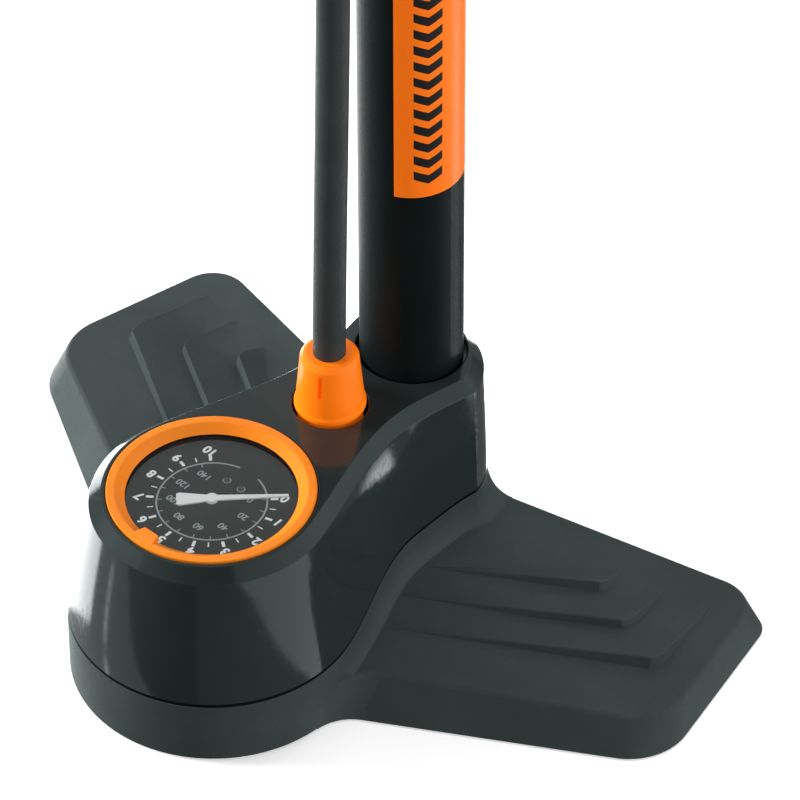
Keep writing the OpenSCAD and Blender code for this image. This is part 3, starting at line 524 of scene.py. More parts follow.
def plan_curve(p0, p1, p2, p3, count):
    """Points strictly between the ends of a cubic curve."""
    made = []
    for step in range(1, count):
        t = step / count
        u = 1 - t
        weights = (u * u * u, 3 * u * u * t, 3 * u * t * t, t * t * t)
        made.append(tuple(
            sum(w * p[axis] for w, p in zip(weights, (p0, p1, p2, p3))) for axis in (0, 1)
        ))
    return made


def placed(name, data):
    """A new object in the scene, with that mesh, curve, lamp or camera."""
    made = bpy.data.objects.new(name, data)
    bpy.context.scene.collection.objects.link(made)
    return made


def mesh_of(bm, name):
    """The bmesh as a mesh, with doubled points joined and all faces turned outward."""
    bmesh.ops.remove_doubles(bm, verts=bm.verts, dist=0.002)
    bmesh.ops.recalc_face_normals(bm, faces=bm.faces)
    mesh = bpy.data.meshes.new(name)
    bm.to_mesh(mesh)
    bm.free()
    return mesh


def finish_mesh(bm, name, material, sharp_deg=30.0, weighted=True):
    return shown(mesh_of(bm, name), name, material, sharp_deg, weighted)


def shown(mesh, name, material, sharp_deg, weighted=True):
    """A mesh in millimetres as an object in metres, smooth but for its sharp edges."""
    mesh.transform(Matrix.Scale(MM, 4))
    mesh.shade_smooth()
    mesh.set_sharp_from_angle(angle=math.radians(sharp_deg))
    mesh.materials.append(material)
    made = placed(name, mesh)
    if weighted:
        normals = made.modifiers.new("even_normals", "WEIGHTED_NORMAL")
        normals.keep_sharp = True
        normals.weight = 80
    return made


def add_ring(bm, points):
    return [bm.verts.new(p) for p in points]


def join_rings(bm, low, high):
    """Quads between two closed rings of the same count."""
    count = len(low)
    for i in range(count):
        j = (i + 1) % count
        bm.faces.new((low[i], low[j], high[j], high[i]))


def loft(bm, rings, capped=True):
    """A skin through closed rings of points, open or capped. Returns the rings' vertices."""
    made = [add_ring(bm, ring) for ring in rings]
    for low, high in zip(made, made[1:]):
        join_rings(bm, low, high)
    if capped:
        bm.faces.new(list(reversed(made[0])))
        bm.faces.new(made[-1])
    return made


def lathe(bm, profile, centre=(0, 0), sides=96, closed=True):
    """Turns a profile of (radius, z) round an upright axis."""
    rings = [
        add_ring(bm, circle(centre, radius, z, sides if radius > 1e-6 else 1))
        for radius, z in profile
    ]
    pairs = list(zip(rings, rings[1:]))
    if closed:
        pairs.append((rings[-1], rings[0]))
    for low, high in pairs:
        for k in range(sides):
            corners = [low[k % len(low)], low[(k + 1) % sides % len(low)],
                       high[(k + 1) % sides % len(high)], high[k % len(high)]]
            unique = list(dict.fromkeys(corners))
            if len(unique) > 2:
                bm.faces.new(unique)


def rounded(profile, radius, steps=3, closed=True):
    """The profile with each corner rounded by about that radius."""
    made = []
    count = len(profile)
    for i, point in enumerate(profile):
        if not closed and i in (0, count - 1):
            made.append(point)
            continue
        here = Vector(point)
        before = Vector(profile[i - 1]) - here
        after = Vector(profile[(i + 1) % count]) - here
        reach = min(radius, before.length * 0.45, after.length * 0.45)
        start = here + before.normalized() * reach
        end = here + after.normalized() * reach
        for step in range(steps + 1):
            t = step / steps
            spot = start * (1 - t) ** 2 + here * 2 * t * (1 - t) + end * t * t
            made.append(tuple(spot))
    return made


# ---- foot and housing plans ----

def housing_side(plan, inset=0.0):
    """Right half of the housing's outline in plan, from its front pole to its rear pole."""
    front_r = plan[0] - inset
    waist = (plan[1] - inset, WAIST_Y)
    rear_r = plan[2] - inset
    front_end = polar((0, GAUGE_Y), front_r, FRONT_END_A)
    leaving = polar(front_end, FRONT_PULL, FRONT_END_A + 90)
    corner = polar((0, REAR_Y), rear_r, REAR_CORNER_A)
    arriving = polar(corner, REAR_PULL, 270 - REAR_CORNER_LEAN)
    return (
        plan_arc((0, GAUGE_Y), front_r, -90, FRONT_END_A, 42)
        + plan_curve(front_end, leaving, (waist[0], waist[1] - WAIST_PULL), waist, 18)
        + [waist]
        + plan_curve(waist, (waist[0], waist[1] + REAR_PULL), arriving, corner, 14)
        + plan_arc((0, REAR_Y), rear_r, REAR_CORNER_A, 90, 26)
    )


def whole(side):
    """Closes a half outline with its mirror image."""
    return side + [(-x, y) for x, y in reversed(side[1:-1])]


def level_plan(t):
    """The housing's plan at a share of its wall's height."""
    share = t ** WALL_BULGE
    return tuple(mix(a, b, share) for a, b in zip(SEAM_PLAN, EDGE_PLAN))


def slope_drop(y):
    return REAR_SLOPE * max(0.0, y - SLOPE_START_Y)


# ---- housing ----

def housing_ring(plan, inset, z):
    """One closed level of the housing or of the skirt under it."""
    return level(whole(housing_side(plan, inset)), z)


def housing_skin(bm, inset, drop, edge_r):
    """Wall and chamfer, as if the top were level. Returns their lowest and highest rings."""
    top_z = HOUSING_TOP_Z - drop
    wall_top = top_z - CHAMFER
    slant = edge_r * 0.707
    rings = [housing_ring(level_plan(0), inset + edge_r, SEAM_Z)]
    for step in range(WALL_LEVELS + 1):
        share = step / WALL_LEVELS
        z = mix(SEAM_Z, wall_top, share)
        if step == 0:
            z += edge_r
        if step == WALL_LEVELS:
            z -= edge_r
        rings.append(housing_ring(level_plan(share), inset, z))
    # Rounded lower edge of the chamfer, then its rounded upper edge
    for reach, z in (
        (slant * 0.5, wall_top + slant * 0.5 - edge_r * 0.15), (slant, wall_top + slant),
        (CHAMFER - slant, top_z - slant), (CHAMFER, top_z - edge_r * 0.2),
        (CHAMFER + edge_r * 0.8, top_z),
    ):
        rings.append(housing_ring(EDGE_PLAN, inset + reach, z))
    made = loft(bm, rings, capped=False)
    return made[0], made[-1]


def hole_rings(bm, hole, top_z, low_z):
    """The wall of a round opening, with a rounded lip. Returns its top and bottom rings."""
    centre_y, radius, lip = hole
    made = loft(bm, [circle((0, centre_y), radius + reach, z, 96) for reach, z in (
        (lip, top_z), (lip * 0.3, top_z - lip * 0.3), (0, top_z - lip), (0, low_z)
    )], capped=False)
    return made[0], made[-1]


def fill_between(bm, outer, holes):
    """Triangles between an outer ring and the rings of its holes, all at one height."""
    edges = []
    for ring in [outer, *holes]:
        for i, vert in enumerate(ring):
            after = ring[(i + 1) % len(ring)]
            edges.append(bm.edges.get((vert, after)) or bm.edges.new((vert, after)))
    bmesh.ops.triangle_fill(bm, use_beauty=True, use_dissolve=False, edges=edges)


def lean_top(bm):
    """Lets the level top fall towards the rear, with the walls following in proportion."""
    for reach in BEND_CUTS:
        bmesh.ops.bisect_plane(
            bm, geom=bm.verts[:] + bm.edges[:] + bm.faces[:], dist=1e-5,
            plane_co=(0, SLOPE_START_Y + reach, 0), plane_no=(0, 1, 0),
        )
    rise = HOUSING_TOP_Z - CHAMFER - SEAM_Z
    for vert in bm.verts:
        share = min(1.0, max(0.0, (vert.co.z - SEAM_Z) / rise))
        vert.co.z -= slope_drop(vert.co.y) * share


def make_housing():
    """Glossy shell with its openings for the gauge, the hose's bush and the barrel."""
    bm = bmesh.new()
    outer_low, outer_top = housing_skin(bm, 0.0, 0.0, SEAM_ROUNDING)
    inner_low, inner_top = housing_skin(bm, HOUSING_WALL, HOUSING_WALL, INNER_ROUNDING)
    join_rings(bm, outer_low, inner_low)
    tops, lows = [], []
    for hole in TOP_HOLES:
        top, low = hole_rings(bm, hole, HOUSING_TOP_Z, HOUSING_TOP_Z - HOUSING_WALL)
        tops.append(top)
        lows.append(low)
    fill_between(bm, outer_top, tops)
    fill_between(bm, inner_top, lows)
    lean_top(bm)
    shell = finish_mesh(bm, "housing_shell", LOOKS["housing_plastic"], 17.0)
    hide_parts("top_cover")
    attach(shell, "pump")


make_housing()


# ---- foot ----

def hull_outline(corners, inset, steps):
    """Outline of the hull of corner circles, listed counter-clockwise."""
    made = []
    count = len(corners)
    leaning = []
    for i in range(count):
        a, b = corners[i], corners[(i + 1) % count]
        dx, dy = b[0] - a[0], b[1] - a[1]
        far = math.hypot(dx, dy)
        leaning.append(math.atan2(dy, dx) - math.pi / 2 + math.asin((a[2] - b[2]) / far))
    for i in range(count):
        start, end = leaning[i - 1], leaning[i]
        while end < start:
            end += 2 * math.pi
        x, y, r = corners[i]
        made += plan_arc((x, y), r - inset, math.degrees(start), math.degrees(end), steps)
    return made


def corners_at(share):
    """The wing's corner circles, from the rim at 0 to the top at 1."""
    return [
        tuple(mix(a, b, share) for a, b in zip(rim, top))
        for rim, top in zip(WING_RIM_CORNERS, WING_TOP_CORNERS)
    ]


def wing_plan(share, inset):
    return hull_outline(corners_at(share), inset, 16)


def wing_levels():
    """Levels of a drafted wall with a rounded upper edge: (z, share of the height, inset)."""
    made = []
    rise = WING_TOP_Z - RIM_Z
    wall_share = (rise - WING_EDGE_R) / rise
    for step in range(5):
        made.append((wall_share * step / 4, 0.0))
    for step in range(1, 8):
        angle = math.pi / 2 * step / 7
        inset = WING_EDGE_R * 0.8 * (1 - math.cos(angle))
        made.append((mix(wall_share, 1.0, math.sin(angle)), inset))
    return [(mix(RIM_Z, WING_TOP_Z, share), share, inset) for share, inset in made]


def drafted(bm, plan):
    """A body with the wing's drafted wall and rounded edge."""
    loft(bm, [level(plan(share, inset), z) for z, share, inset in wing_levels()])


def solid(name, build):
    """A closed solid, still in millimetres, for the Booleans."""
    bm = bmesh.new()
    build(bm)
    return placed(name, mesh_of(bm, name))


def combine(base, other, operation):
    """A Boolean of the two solids: the base keeps the result and the other one goes."""
    step = base.modifiers.new(operation.lower(), "BOOLEAN")
    step.operation = operation
    step.solver = "EXACT"
    step.use_self = True
    step.object = other
    bpy.context.view_layer.update()
    result = bpy.data.meshes.new_from_object(
        base.evaluated_get(bpy.context.evaluated_depsgraph_get())
    )
    base.modifiers.clear()
    base.data = result
    bpy.data.objects.remove(other)


def skirt(bm):
    """Upright wall under the housing, hollow above its deck."""
    rounding = SKIRT_ROUNDING
    lip_z = SEAM_Z - 0.1
    loft(bm, [housing_ring(SEAM_PLAN, inset, z) for inset, z in (
        (rounding, RIM_Z), (rounding * 0.3, RIM_Z + rounding * 0.3), (0, RIM_Z + rounding),
        (0, 6), (0, 12), (0, 18), (0, FOOT_TOP_Z - 0.15), (0.15, FOOT_TOP_Z),
        (GROOVE_IN, FOOT_TOP_Z), (GROOVE_IN, GROOVE_Z), (GROOVE_OUT, GROOVE_Z),
        (GROOVE_OUT, lip_z), (FOOT_WALL, lip_z), (FOOT_WALL, DECK_TOP_Z),
    )])


def make_seam_shade_strip():
    """A dark strip in the gap between foot and housing: painted shade that makes the seam show as a
    dark line.
    """
    bm = bmesh.new()
    back = SHADE_STRIP_IN + SHADE_STRIP_T
    made = loft(bm, [housing_ring(SEAM_PLAN, inset, z) for inset, z in (
        (SHADE_STRIP_IN, GROOVE_Z), (SHADE_STRIP_IN, SEAM_Z), (back, SEAM_Z), (back, GROOVE_Z)
    )], capped=False)
    join_rings(bm, made[-1], made[0])
    # Near black and matt: painted shade for the seam's gap
    seam_shade_material = grained("seam_painted_shade", (9, 12, 12), (12, 15, 15), 900.0, 0.00002, 0.8, 0.1)
    strip = finish_mesh(bm, "seam_seal", seam_shade_material)
    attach(strip, "pump")


def web_outline(share, inset, first, middle, round_r, web_r, side):
    """Plan of the filled corner between a round of the skirt and a wing's edge."""
    corners = corners_at(share)
    low, high = corners[first], corners[(first + 1) % len(corners)]
    chord = Vector((high[0] - low[0], high[1] - low[1]))
    edge_a = math.atan2(chord.y, chord.x) - math.asin((high[2] - low[2]) / chord.length)
    along = Vector((math.cos(edge_a), math.sin(edge_a)))
    out = Vector((math.sin(edge_a), -math.cos(edge_a)))
    reach = round_r + web_r
    w = Vector((low[0], low[1])) + (low[2] + web_r) * out - Vector(middle)
    t = side * math.sqrt(w.dot(along) ** 2 - w.dot(w) + reach * reach) - w.dot(along)
    centre = Vector(middle) + w + t * along
    inward = (Vector(middle) - centre).normalized()
    start = math.degrees(math.atan2(inward.y, inward.x))
    end = math.degrees(math.atan2(-out.y, -out.x))
    turn = (end - start + 180) % 360 - 180
    inner = centre - (web_r + WEB_DEPTH) * out
    return [tuple(middle)] + plan_arc(centre, web_r + inset, start, start + turn, 20) + [
        tuple(inner)
    ]


def front_web(share, inset):
    return web_outline(share, inset, 0, (0, GAUGE_Y), SEAM_PLAN[0], FRONT_WEB_R, 1)


def rear_web(share, inset):
    return web_outline(share, inset, 2, (0, REAR_Y), SEAM_PLAN[2], REAR_WEB_R, -1)


# The right wing with the webs that join it to the skirt
WING_PLANS = (wing_plan, front_web, rear_web)


def between(table, value):
    """Value of a table of (place, amount), eased between its rows."""
    for (a, low), (b, high) in zip(table, table[1:]):
        if value < b:
            t = min(1.0, max(0.0, (value - a) / (b - a)))
            return mix(low, high, t * t * (3 - 2 * t))
    return table[-1][1]


def flare(bm):
    """The skirt's foot spreads out onto the wings in a hollow curve."""
    outline = whole(housing_side(SEAM_PLAN))
    count = len(outline)
    normals = []
    for i in range(count):
        d = Vector(outline[(i + 1) % count]) - Vector(outline[i - 1])
        normals.append(Vector((d.y, -d.x)).normalized())
    low_z = WING_TOP_Z - FLARE_UNDER
    tallest = FOOT_TOP_Z - WING_TOP_Z - FLARE_DROP
    # Each point: (shift off the skirt, share of the reach, height)
    profile = [(-FLARE_BACK, 0.0, -1.0), (-FLARE_SUNK, 1.0, -1.0)]
    for step in range(FLARE_STEPS + 1):
        angle = math.pi / 2 * step / FLARE_STEPS
        profile.append((-FLARE_SUNK, 1 - math.sin(angle), (1 - math.cos(angle)) * tallest))
    profile.append((-FLARE_BACK, 0.0, tallest))
    rings = []
    for shift, across, height in profile:
        ring = []
        for (x, y), normal in zip(outline, normals):
            spot = Vector((x, y)) + normal * (shift + across * between(FLARE_REACH, y))
            ring.append((spot.x, spot.y, low_z + height))
        rings.append(ring)
    made = loft(bm, rings, capped=False)
    join_rings(bm, made[-1], made[0])


def prism(bm, outline, low_z, high_z):
    loft(bm, [level(outline, z) for z in (low_z, high_z)])


def outward(points):
    """Unit normals of an open plan path that runs counter-clockwise round its body."""
    made = []
    for i in range(len(points)):
        a = Vector(points[max(i - 1, 0)])
        b = Vector(points[min(i + 1, len(points) - 1)])
        d = (b - a).normalized()
        made.append(Vector((d.y, -d.x)))
    return made


def grip_path(start, corner, finish):
    """Plan of a ridge's free edge: two straight legs and a round that starts with a crease."""
    in_a = (start - corner).normalized()
    in_b = (finish - corner).normalized()
    half_a = math.acos(in_a.dot(in_b)) / 2
    centre = corner + (in_a + in_b).normalized() * GRIP_CORNER_R / math.sin(half_a)
    first = math.degrees(math.atan2(in_a.x, -in_a.y))
    last = math.degrees(math.atan2(-in_b.x, in_b.y))
    while last < first:
        last += 360
    arc = plan_arc(centre, GRIP_CORNER_R, first + GRIP_CREASE_A, last, 12)
    leg_a = [tuple(start.lerp(Vector(arc[0]), k / 8)) for k in range(8)]
    leg_b = [tuple(Vector(arc[-1]).lerp(finish, k / 6)) for k in range(1, 7)]
    return leg_a + arc + leg_b


def grip_step(bm, step):
    """An L-shaped ridge: it sinks into the wing along its chord and is highest at its corner."""
    start, corner, finish = (Vector(p) for p in step)
    base = (finish - start).normalized()
    side = Vector((base.y, -base.x))
    slope = (GRIP_H + GRIP_SUNK) / (corner - start).dot(side)
    path = grip_path(start, corner, finish)
    foot, edge, top = [], [], []
    for point, normal in zip(path, outward(path)):
        spot = Vector(point)
        height = max(GRIP_LEAST_H, (spot - start).dot(side) * slope - GRIP_SUNK)
        rounding = GRIP_ROUNDING * min(1.0, height / GRIP_FULL_H)
        spread = spot + normal * (GRIP_DRAFT * height + GRIP_SPREAD)
        drawn_in = spot - normal * rounding
        foot.append((*spread, WING_TOP_Z - GRIP_ROOT))
        edge.append((*spot, WING_TOP_Z + height - rounding))
        top.append((*drawn_in, WING_TOP_Z + height))
    made = [add_ring(bm, ring) for ring in (foot, edge, top)]
    # The chord's edge lies just under the wing's surface
    chord = add_ring(bm, [
        (*start.lerp(finish, k / 10), WING_TOP_Z - GRIP_SUNK) for k in range(1, 10)
    ])
    for low, high in zip(made, made[1:]):
        for i in range(len(low) - 1):
            bm.faces.new((low[i], low[i + 1], high[i + 1], high[i]))
    bm.faces.new(made[-1] + list(reversed(chord)))
    bm.faces.new(list(reversed(made[0])) + chord)
    ends = ([ring[0] for ring in made], [ring[-1] for ring in made])
    bm.faces.new(list(reversed(ends[0])) + [chord[0]])
    bm.faces.new(ends[1] + [chord[-1]])


def drum(bm, x, y, low_z, high_z, radius, sides=32):
    lathe(bm, [(0, low_z), (radius, low_z), (radius, high_z), (0, high_z)], (x, y), sides, False)


def wing_space(bm):
    """The room under a wing, as deep as its wall's thickness allows."""
    loft(bm, [
        level(hull_outline(corners_at(share), FOOT_WALL, 12), z)
        for z, share in ((-1.0, 0.0), (WING_TOP_Z - FOOT_WALL, 1.0))
    ])


def wing_ribs(bm):
    for x, y, width, depth in WING_RIBS:
        corners = ((x, y), (x + width, y), (x + width, y + depth), (x, y + depth))
        prism(bm, corners, BELOW_Z, DECK_Z)


def pad_bosses(bm, places, high_z):
    for x, y in places:
        drum(bm, x, y, BELOW_Z, high_z, PAD_R + PAD_WALL)


def wing_hollow():
    """The space under a wing: ribs and pad bosses stay."""
    made = solid("wing_space", wing_space)
    combine(made, solid("ribs", wing_ribs), "DIFFERENCE")
    bosses = solid("bosses", lambda bm: pad_bosses(bm, PAD_PLACES[2::2], DECK_Z))
    combine(made, bosses, "DIFFERENCE")
    return made


def mirror_solid(made):
    """Adds the solid's mirror image across the middle to it."""
    bm = bmesh.new()
    bm.from_mesh(made.data)
    copy = bmesh.ops.duplicate(bm, geom=bm.verts[:] + bm.edges[:] + bm.faces[:])["geom"]
    for vert in (g for g in copy if isinstance(g, bmesh.types.BMVert)):
        vert.co.x = -vert.co.x
    bmesh.ops.reverse_faces(bm, faces=[g for g in copy if isinstance(g, bmesh.types.BMFace)])
    bm.to_mesh(made.data)
    bm.free()
    return made


def flare_limits():
    """A solid round all the flare that shows: over the wing, its webs and the waist."""
    cover, front, rear = (
        solid("cover", lambda bm, plan=plan: prism(
            bm, plan(1.0, COVER_INSET), COVER_Z, FOOT_TOP_Z
        ))
        for plan in WING_PLANS
    )
    root_top_z = FOOT_TOP_Z + FLARE_ROOT_OVER
    root = solid("root", lambda bm: prism(bm, FLARE_ROOT, FLARE_ROOT_Z, root_top_z))
    for part in (root, front, rear):
        combine(cover, part, "UNION")
    return cover


def one_wing():
    """The right wing with its webs, ridges and the skirt's flare over it."""
    made, front, rear = (
        solid("wing", lambda bm, plan=plan: drafted(bm, plan)) for plan in WING_PLANS
    )
    combine(made, front, "UNION")
    combine(made, rear, "UNION")
    spread = solid("spread", flare)
    combine(spread, flare_limits(), "INTERSECT")
    combine(made, spread, "UNION")
    for step in GRIP_STEPS:
        combine(made, solid("ridge", lambda bm, step=step: grip_step(bm, step)), "UNION")
    combine(made, wing_hollow(), "DIFFERENCE")
    return mirror_solid(made)


def deck_holes(bm):
    for x, y in COVER_SCREW_PLACES:
        drum(bm, x, y, DECK_Z - 1, DECK_TOP_Z + 1, COVER_SCREW_R)
    for x, y in PAD_PLACES:
        drum(bm, x, y, -1, PAD_H, PAD_R)


def make_foot():
    """Skirt and both wings in one moulding, hollow underneath."""
    foot = solid("foot_shell_solid", skirt)
    combine(foot, one_wing(), "UNION")
    under = solid(
        "under", lambda bm: prism(bm, whole(housing_side(SEAM_PLAN, FOOT_WALL)), -1, DECK_Z)
    )
    bosses = solid("middle_bosses", lambda bm: pad_bosses(bm, PAD_PLACES[:2], DECK_Z + 2))
    combine(under, bosses, "DIFFERENCE")
    combine(foot, under, "DIFFERENCE")
    combine(foot, solid("holes", deck_holes), "DIFFERENCE")
    mesh = foot.data
    bpy.data.objects.remove(foot)
    made = shown(mesh, "foot_shell", LOOKS["foot_plastic"], 16.5)
    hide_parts("foot_base")
    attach(made, "pump")


make_foot()
make_seam_shade_strip()


# ---- orange ring and bush ----

def make_marker_ring():
    """The orange ring with a sloping inside and a tab to turn it by."""
    bm = bmesh.new()
    profile = [
        (RING_IN_R, RING_IN_Z), (RING_RIM_IN_R, RING_TOP_Z), (RING_OUTER_R, RING_TOP_Z),
        (RING_OUTER_R, RING_BOTTOM_Z), (RING_UNDER_R, RING_BOTTOM_Z),
        (RING_UNDER_R, RING_UNDER_Z), (RING_IN_R, RING_UNDER_Z),
    ]
    upper = rounded(profile[:4], RING_ROUNDING, 4, False)[:-1]
    lathe(bm, upper + profile[3:], (0, GAUGE_Y), 144)
    tab = [Vector(point) for point in rounded(TAB_PLAN, 0.3, 2)]
    centre = Vector(TAB_MIDDLE)
    rings = []
    for grow, z in TAB_LEVELS:
        spots = [spot + (spot - centre).normalized() * grow for spot in tab]
        rings.append([(spot.x, GAUGE_Y + spot.y, z) for spot in spots])
    loft(bm, rings)
    ring = finish_mesh(bm, "marker_ring_detailed", LOOKS["orange_plastic"], 28.0)
    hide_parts("marker_ring")
    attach(ring, "marker")


make_marker_ring()


# ---- check valve spring ----

def coil(bm, centre, radius, wire, turns, low_z, high_z, steps=24, sides=10):
    """A wire wound upwards round an upright axis, with closed end turns."""
    rings = []
    count = turns * steps
    for step in range(count + 1):
        share = step / count
        angle = 2 * math.pi * turns * share
        out = Vector((math.cos(angle), math.sin(angle), 0))
        rise = share * share * (3 - 2 * share)
        spot = Vector((*centre, mix(low_z, high_z, rise))) + out * radius
        rings.append([
            tuple(spot + wire * (out * math.cos(turn) + Vector((0, 0, math.sin(turn)))))
            for turn in (2 * math.pi * side / sides for side in range(sides))
        ])
    loft(bm, rings)


def make_valve_spring():
    """A wire coil in the box of the CAD spring, its foot on the plug and its top at the disc."""
    low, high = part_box("valve_spring")
    outer = (high[0] - low[0]) / 2 / MM
    centre = tuple((low[axis] + high[axis]) / 2 / MM for axis in (0, 1))
    bm = bmesh.new()
    coil(bm, centre, outer - SPRING_WIRE_R, SPRING_WIRE_R, SPRING_TURNS,
         low[2] / MM + SPRING_WIRE_R, high[2] / MM - SPRING_WIRE_R)
    spring = finish_mesh(bm, "valve_spring_wound", LOOKS["spring_steel"], 50.0, False)
    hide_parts("valve_spring")
    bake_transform(spring)


make_valve_spring()


# ---- dial print ----

def dial_spot(radius, share):
    """Point on the dial at that share of the scale, clockwise from its start."""
    return Vector(polar((0, GAUGE_Y), radius, SCALE_START_A - SCALE_SWEEP * share))


def tick(bm, share, low_r, high_r, width, z):
    low, high = dial_spot(low_r, share), dial_spot(high_r, share)
    along = (high - low).normalized()
    across = Vector((-along.y, along.x)) * width / 2
    corners = (low - across, high - across, high + across, low + across)
    bm.faces.new([bm.verts.new((p.x, p.y, z)) for p in corners])


def dial_line(bm, radius, width, start, end, z, steps=90):
    """A printed arc of the dial between two shares of the scale."""
    pairs = []
    for step in range(steps + 1):
        share = mix(start, end, step / steps)
        low, high = dial_spot(radius - width / 2, share), dial_spot(radius + width / 2, share)
        pairs.append((bm.verts.new((low.x, low.y, z)), bm.verts.new((high.x, high.y, z))))
    for (a, b), (c, d) in zip(pairs, pairs[1:]):
        bm.faces.new((a, b, d, c))


def printed_circle(bm, x, y, radius, width, z):
    rings = [
        add_ring(bm, circle((x, y), radius + reach, z, 32)) for reach in (-width / 2, width / 2)
    ]
    join_rings(bm, *rings)


def numeral(bm, text, radius, share, size, z, bold):
    """A number, upright for a user who stands behind the barrel."""
    curve = bpy.data.curves.new("numeral", "FONT")
    curve.body = text
    curve.size = size
    curve.offset = bold * size
    curve.align_x = "CENTER"
    curve.align_y = "CENTER"
    curve.resolution_u = 6
    made = placed("numeral", curve)
    bpy.context.view_layer.update()
    mesh = bpy.data.meshes.new_from_object(
        made.evaluated_get(bpy.context.evaluated_depsgraph_get())
    )
    spot = dial_spot(radius, share)
    mesh.transform(Matrix.Translation((spot.x, spot.y, z)) @ Matrix.Rotation(math.pi, 4, "Z"))
    bm.from_mesh(mesh)
    bpy.data.objects.remove(made)
    bpy.data.meshes.remove(mesh)
    bpy.data.curves.remove(curve)


def outer_scale(bm):
    """Numbered steps with half steps between them."""
    low_r, high_r, half_r = OUTER_TICK_R
    wide, narrow = OUTER_TICK_W
    for step in range(OUTER_TICKS + 1):
        share = step / OUTER_TICKS
        if step % 2:
            tick(bm, share, low_r, half_r, narrow, PRINT_Z)
            continue
        tick(bm, share, low_r, high_r, wide, PRINT_Z)
        text = str(step // 2)
        numeral(bm, text, OUTER_NUMBER_R, share, OUTER_NUMBER_H, PRINT_Z, OUTER_BOLD)


def inner_scale(bm):
    """The circle, the small circles round the screws, and the finer scale inside."""
    dial_line(bm, CIRCLE_R, CIRCLE_W, *CIRCLE_SPAN, PRINT_Z)
    across, up = DIAL_SCREWS_AT
    for x in (-across, across):
        printed_circle(bm, x, GAUGE_Y + up, SCREW_CIRCLE_R, SCREW_CIRCLE_W, PRINT_Z)
    for step in range(INNER_TICKS + 1):
        share = step / INNER_TICKS * INNER_SWEEP
        tick(bm, share, *INNER_TICK_R, INNER_TICK_W, PRINT_Z)
    for step in range(INNER_TICKS // 2 + 1):
        share = step / (INNER_TICKS // 2) * INNER_SWEEP
        text = str(step * 20)
        numeral(bm, text, INNER_NUMBER_R, share, INNER_NUMBER_H, PRINT_Z, INNER_BOLD)


def make_dial_print():
    """Two printed layers on the dial, one white and one grey."""
    for name, draw, material in (
        ("dial_scale_outer", outer_scale, dial_white()),
        ("dial_scale_inner", inner_scale, dial_grey()),
    ):
        bm = bmesh.new()
        draw(bm)
        piece = finish_mesh(bm, name, material, 30.0, False)
        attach(piece, "pump")


make_dial_print()


# ---- hose ----

def smooth_route(points, steps):
    """Points on a smooth curve through the route."""
    made = []
    last = len(points) - 1
    for i in range(last):
        a, b, c, d = (
            Vector(points[k]) for k in (max(i - 1, 0), i, i + 1, min(i + 2, last))
        )
        for j in range(steps):
            t = j / steps
            made.append(0.5 * (
                2 * b + (c - a) * t + (2 * a - 5 * b + 4 * c - d) * t * t
                + (3 * b - a - 3 * c + d) * t * t * t
            ))
    made.append(Vector(points[last]))
    return made


def make_hose():
    """The hose along its route: up the barrel, one loop behind it, and down to the head."""
    curve = bpy.data.curves.new("air_hose", "CURVE")
    curve.dimensions = "3D"
    curve.bevel_depth = HOSE_R * MM
    curve.bevel_resolution = 8
    curve.use_fill_caps = True
    route = smooth_route(HOSE_ROUTE, 8)
    spline = curve.splines.new("POLY")
    spline.points.add(len(route) - 1)
    for point, spot in zip(spline.points, route):
        point.co = (*(spot * MM), 1.0)
    spline.use_smooth = True
    curve.materials.append(LOOKS["hose_rubber"])
    hose = placed("air_hose", curve)
    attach(hose, "pump")
    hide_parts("hose")


make_hose()


# ---- label graphics ----

def make_label_bars():
    """A plain column of chevrons on the label."""
    bm = bmesh.new()
    radius = BARREL_R + LABEL_T + PRINT_GAP
    for row in range(CHEVRON_ROWS):
        base = LABEL_Z + 5 + row * CHEVRON_PITCH
        pairs = []
        for step in range(CHEVRON_STEPS + 1):
            share = step / CHEVRON_STEPS
            spot = polar((0, 0), radius, mix(CHEVRON_FROM_A, CHEVRON_TO_A, share))
            low = base + CHEVRON_SLANT * abs(share - 0.5) * 2
            pairs.append(add_ring(bm, [(*spot, low), (*spot, low + CHEVRON_T)]))
        for (a, b), (c, d) in zip(pairs, pairs[1:]):
            bm.faces.new((a, c, d, b))
    bars = finish_mesh(bm, "label_bars", print_black(), 30.0, False)
    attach(bars, "pump")


make_label_bars()


# ---- camera ----

def make_camera():
    """The main view: from the front right, looking down on the foot and the gauge."""
    yaw, pitch, roll = 0.742248, 0.748948, -0.003556
    data = bpy.data.cameras.new("camera")
    data.sensor_width = 36.0
    data.lens = 280.58
    data.clip_start = 0.1
    data.clip_end = 20.0
    camera = placed("camera", data)
    turn = (
        Matrix.Rotation(yaw, 4, "Z")
        @ Matrix.Rotation(math.pi / 2 - pitch, 4, "X")
        @ Matrix.Rotation(roll, 4, "Z")
    )
    camera.matrix_world = Matrix.Translation((0.9490183, -1.0399408, 1.3542849)) @ turn
    bpy.context.scene.camera = camera


make_camera()


# ---- studio ----

def make_floor():
    """A white floor that glows a little, so that it shows as plain white."""
    bm = bmesh.new()
    bmesh.ops.create_grid(bm, x_segments=1, y_segments=1, size=FLOOR_HALF)
    mesh = bpy.data.meshes.new("studio_floor")
    bm.to_mesh(mesh)
    bm.free()
    material = shader_of("studio_floor", (250, 250, 250), 0.9, 0.0, 0.1)[0]
    mesh.materials.append(glowing(material, (255, 255, 255), FLOOR_GLOW))
    floor = placed("studio_floor", mesh)
    floor.visible_glossy = False
    floor.visible_diffuse = False


def softbox(name, spot, target, size, power):
    """A rectangular lamp that doesn't show in reflections."""
    data = bpy.data.lights.new(name, "AREA")
    data.shape = "RECTANGLE"
    data.size, data.size_y = size
    data.energy = power
    lamp = placed(name, data)
    lamp.location = spot
    aim = Vector(target) - Vector(spot)
    lamp.rotation_mode = "QUATERNION"
    lamp.rotation_quaternion = aim.to_track_quat("-Z", "Y")
    lamp.visible_glossy = False


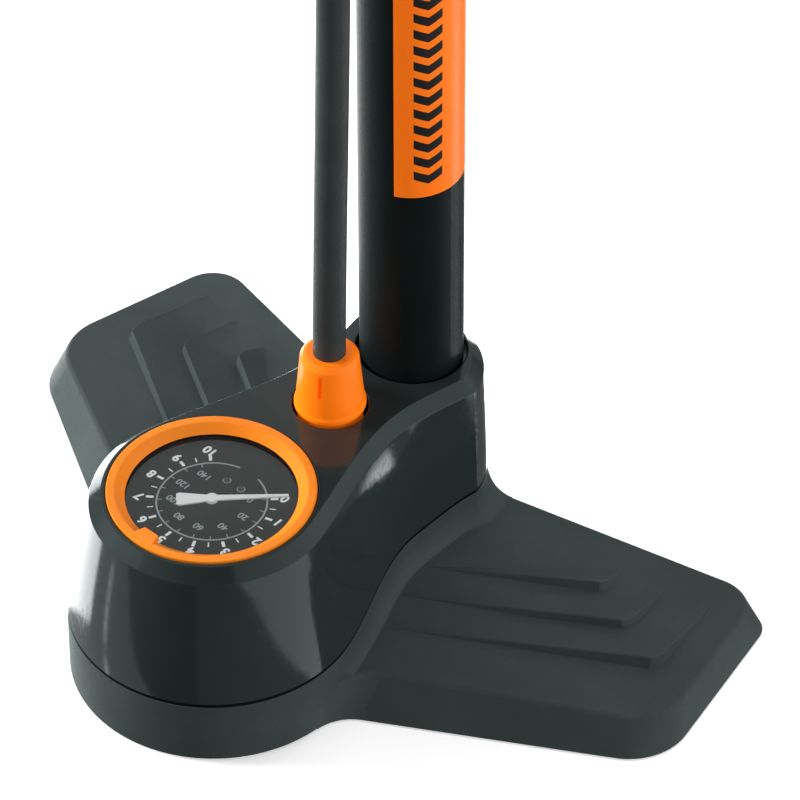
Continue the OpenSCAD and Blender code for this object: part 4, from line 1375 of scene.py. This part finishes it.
def math_node(tree, operation, first, second=None):
    """The result of one step of arithmetic on numbers or other nodes' results."""
    node = tree.nodes.new("ShaderNodeMath")
    node.operation = operation
    for socket, value in zip(node.inputs, (first, second)):
        if isinstance(value, (int, float)):
            socket.default_value = value
        elif value is not None:
            tree.links.new(value, socket)
    return node.outputs["Value"]


def panel(tree, bearing, height, edges, strength):
    """A bright patch of the surroundings inside straight edges."""
    inside = strength
    for across, up, limit in edges:
        place = math_node(tree, "ADD", math_node(tree, "MULTIPLY", bearing, across),
                          math_node(tree, "MULTIPLY", height, up))
        edge = ranged(tree, place, 0.0, 1.0, limit - PANEL_EDGE, limit + PANEL_EDGE)
        inside = math_node(tree, "MULTIPLY", edge, inside)
    return inside


def sky(world):
    """Soft surroundings: dark below, bright low down, dimmer overhead, with a few panels."""
    world.use_nodes = True
    tree = world.node_tree
    background = tree.nodes["Background"]
    place = new_node(tree, "TexCoord").outputs["Generated"]
    apart = new_node(tree, "SeparateXYZ", Vector=place)
    half = ranged(tree, apart.outputs["Z"], 0.0, 1.0, -1.0, 1.0)
    ramp = new_node(tree, "ValToRGB", Fac=half)
    elements = ramp.color_ramp.elements
    while len(elements) < len(SKY_LEVELS):
        elements.new(0.5)
    for element, (position, strength) in zip(elements, SKY_LEVELS):
        element.position = position
        element.color = (strength, strength, strength, 1)
    turn = math_node(tree, "ARCTAN2", apart.outputs["Y"], apart.outputs["X"])
    ahead = math_node(tree, "ADD", math_node(tree, "DEGREES", turn), 720.0 - BEARING_CUT)
    bearing = math_node(tree, "ADD", math_node(tree, "MODULO", ahead, 360.0), BEARING_CUT)
    height = math_node(tree, "DEGREES", math_node(tree, "ARCSINE", apart.outputs["Z"]))
    total = ramp.outputs["Color"]
    for edges, strength in PANELS:
        total = math_node(tree, "ADD", total, panel(tree, bearing, height, edges, strength))
    fill(tree, background, Color=total, Strength=1.0)


def make_studio():
    make_floor()
    for lamp in SOFTBOXES:
        softbox(*lamp)
    world = bpy.data.worlds.new("studio")
    sky(world)
    bpy.context.scene.world = world
    bpy.context.scene.view_settings.view_transform = "Standard"


make_studio()
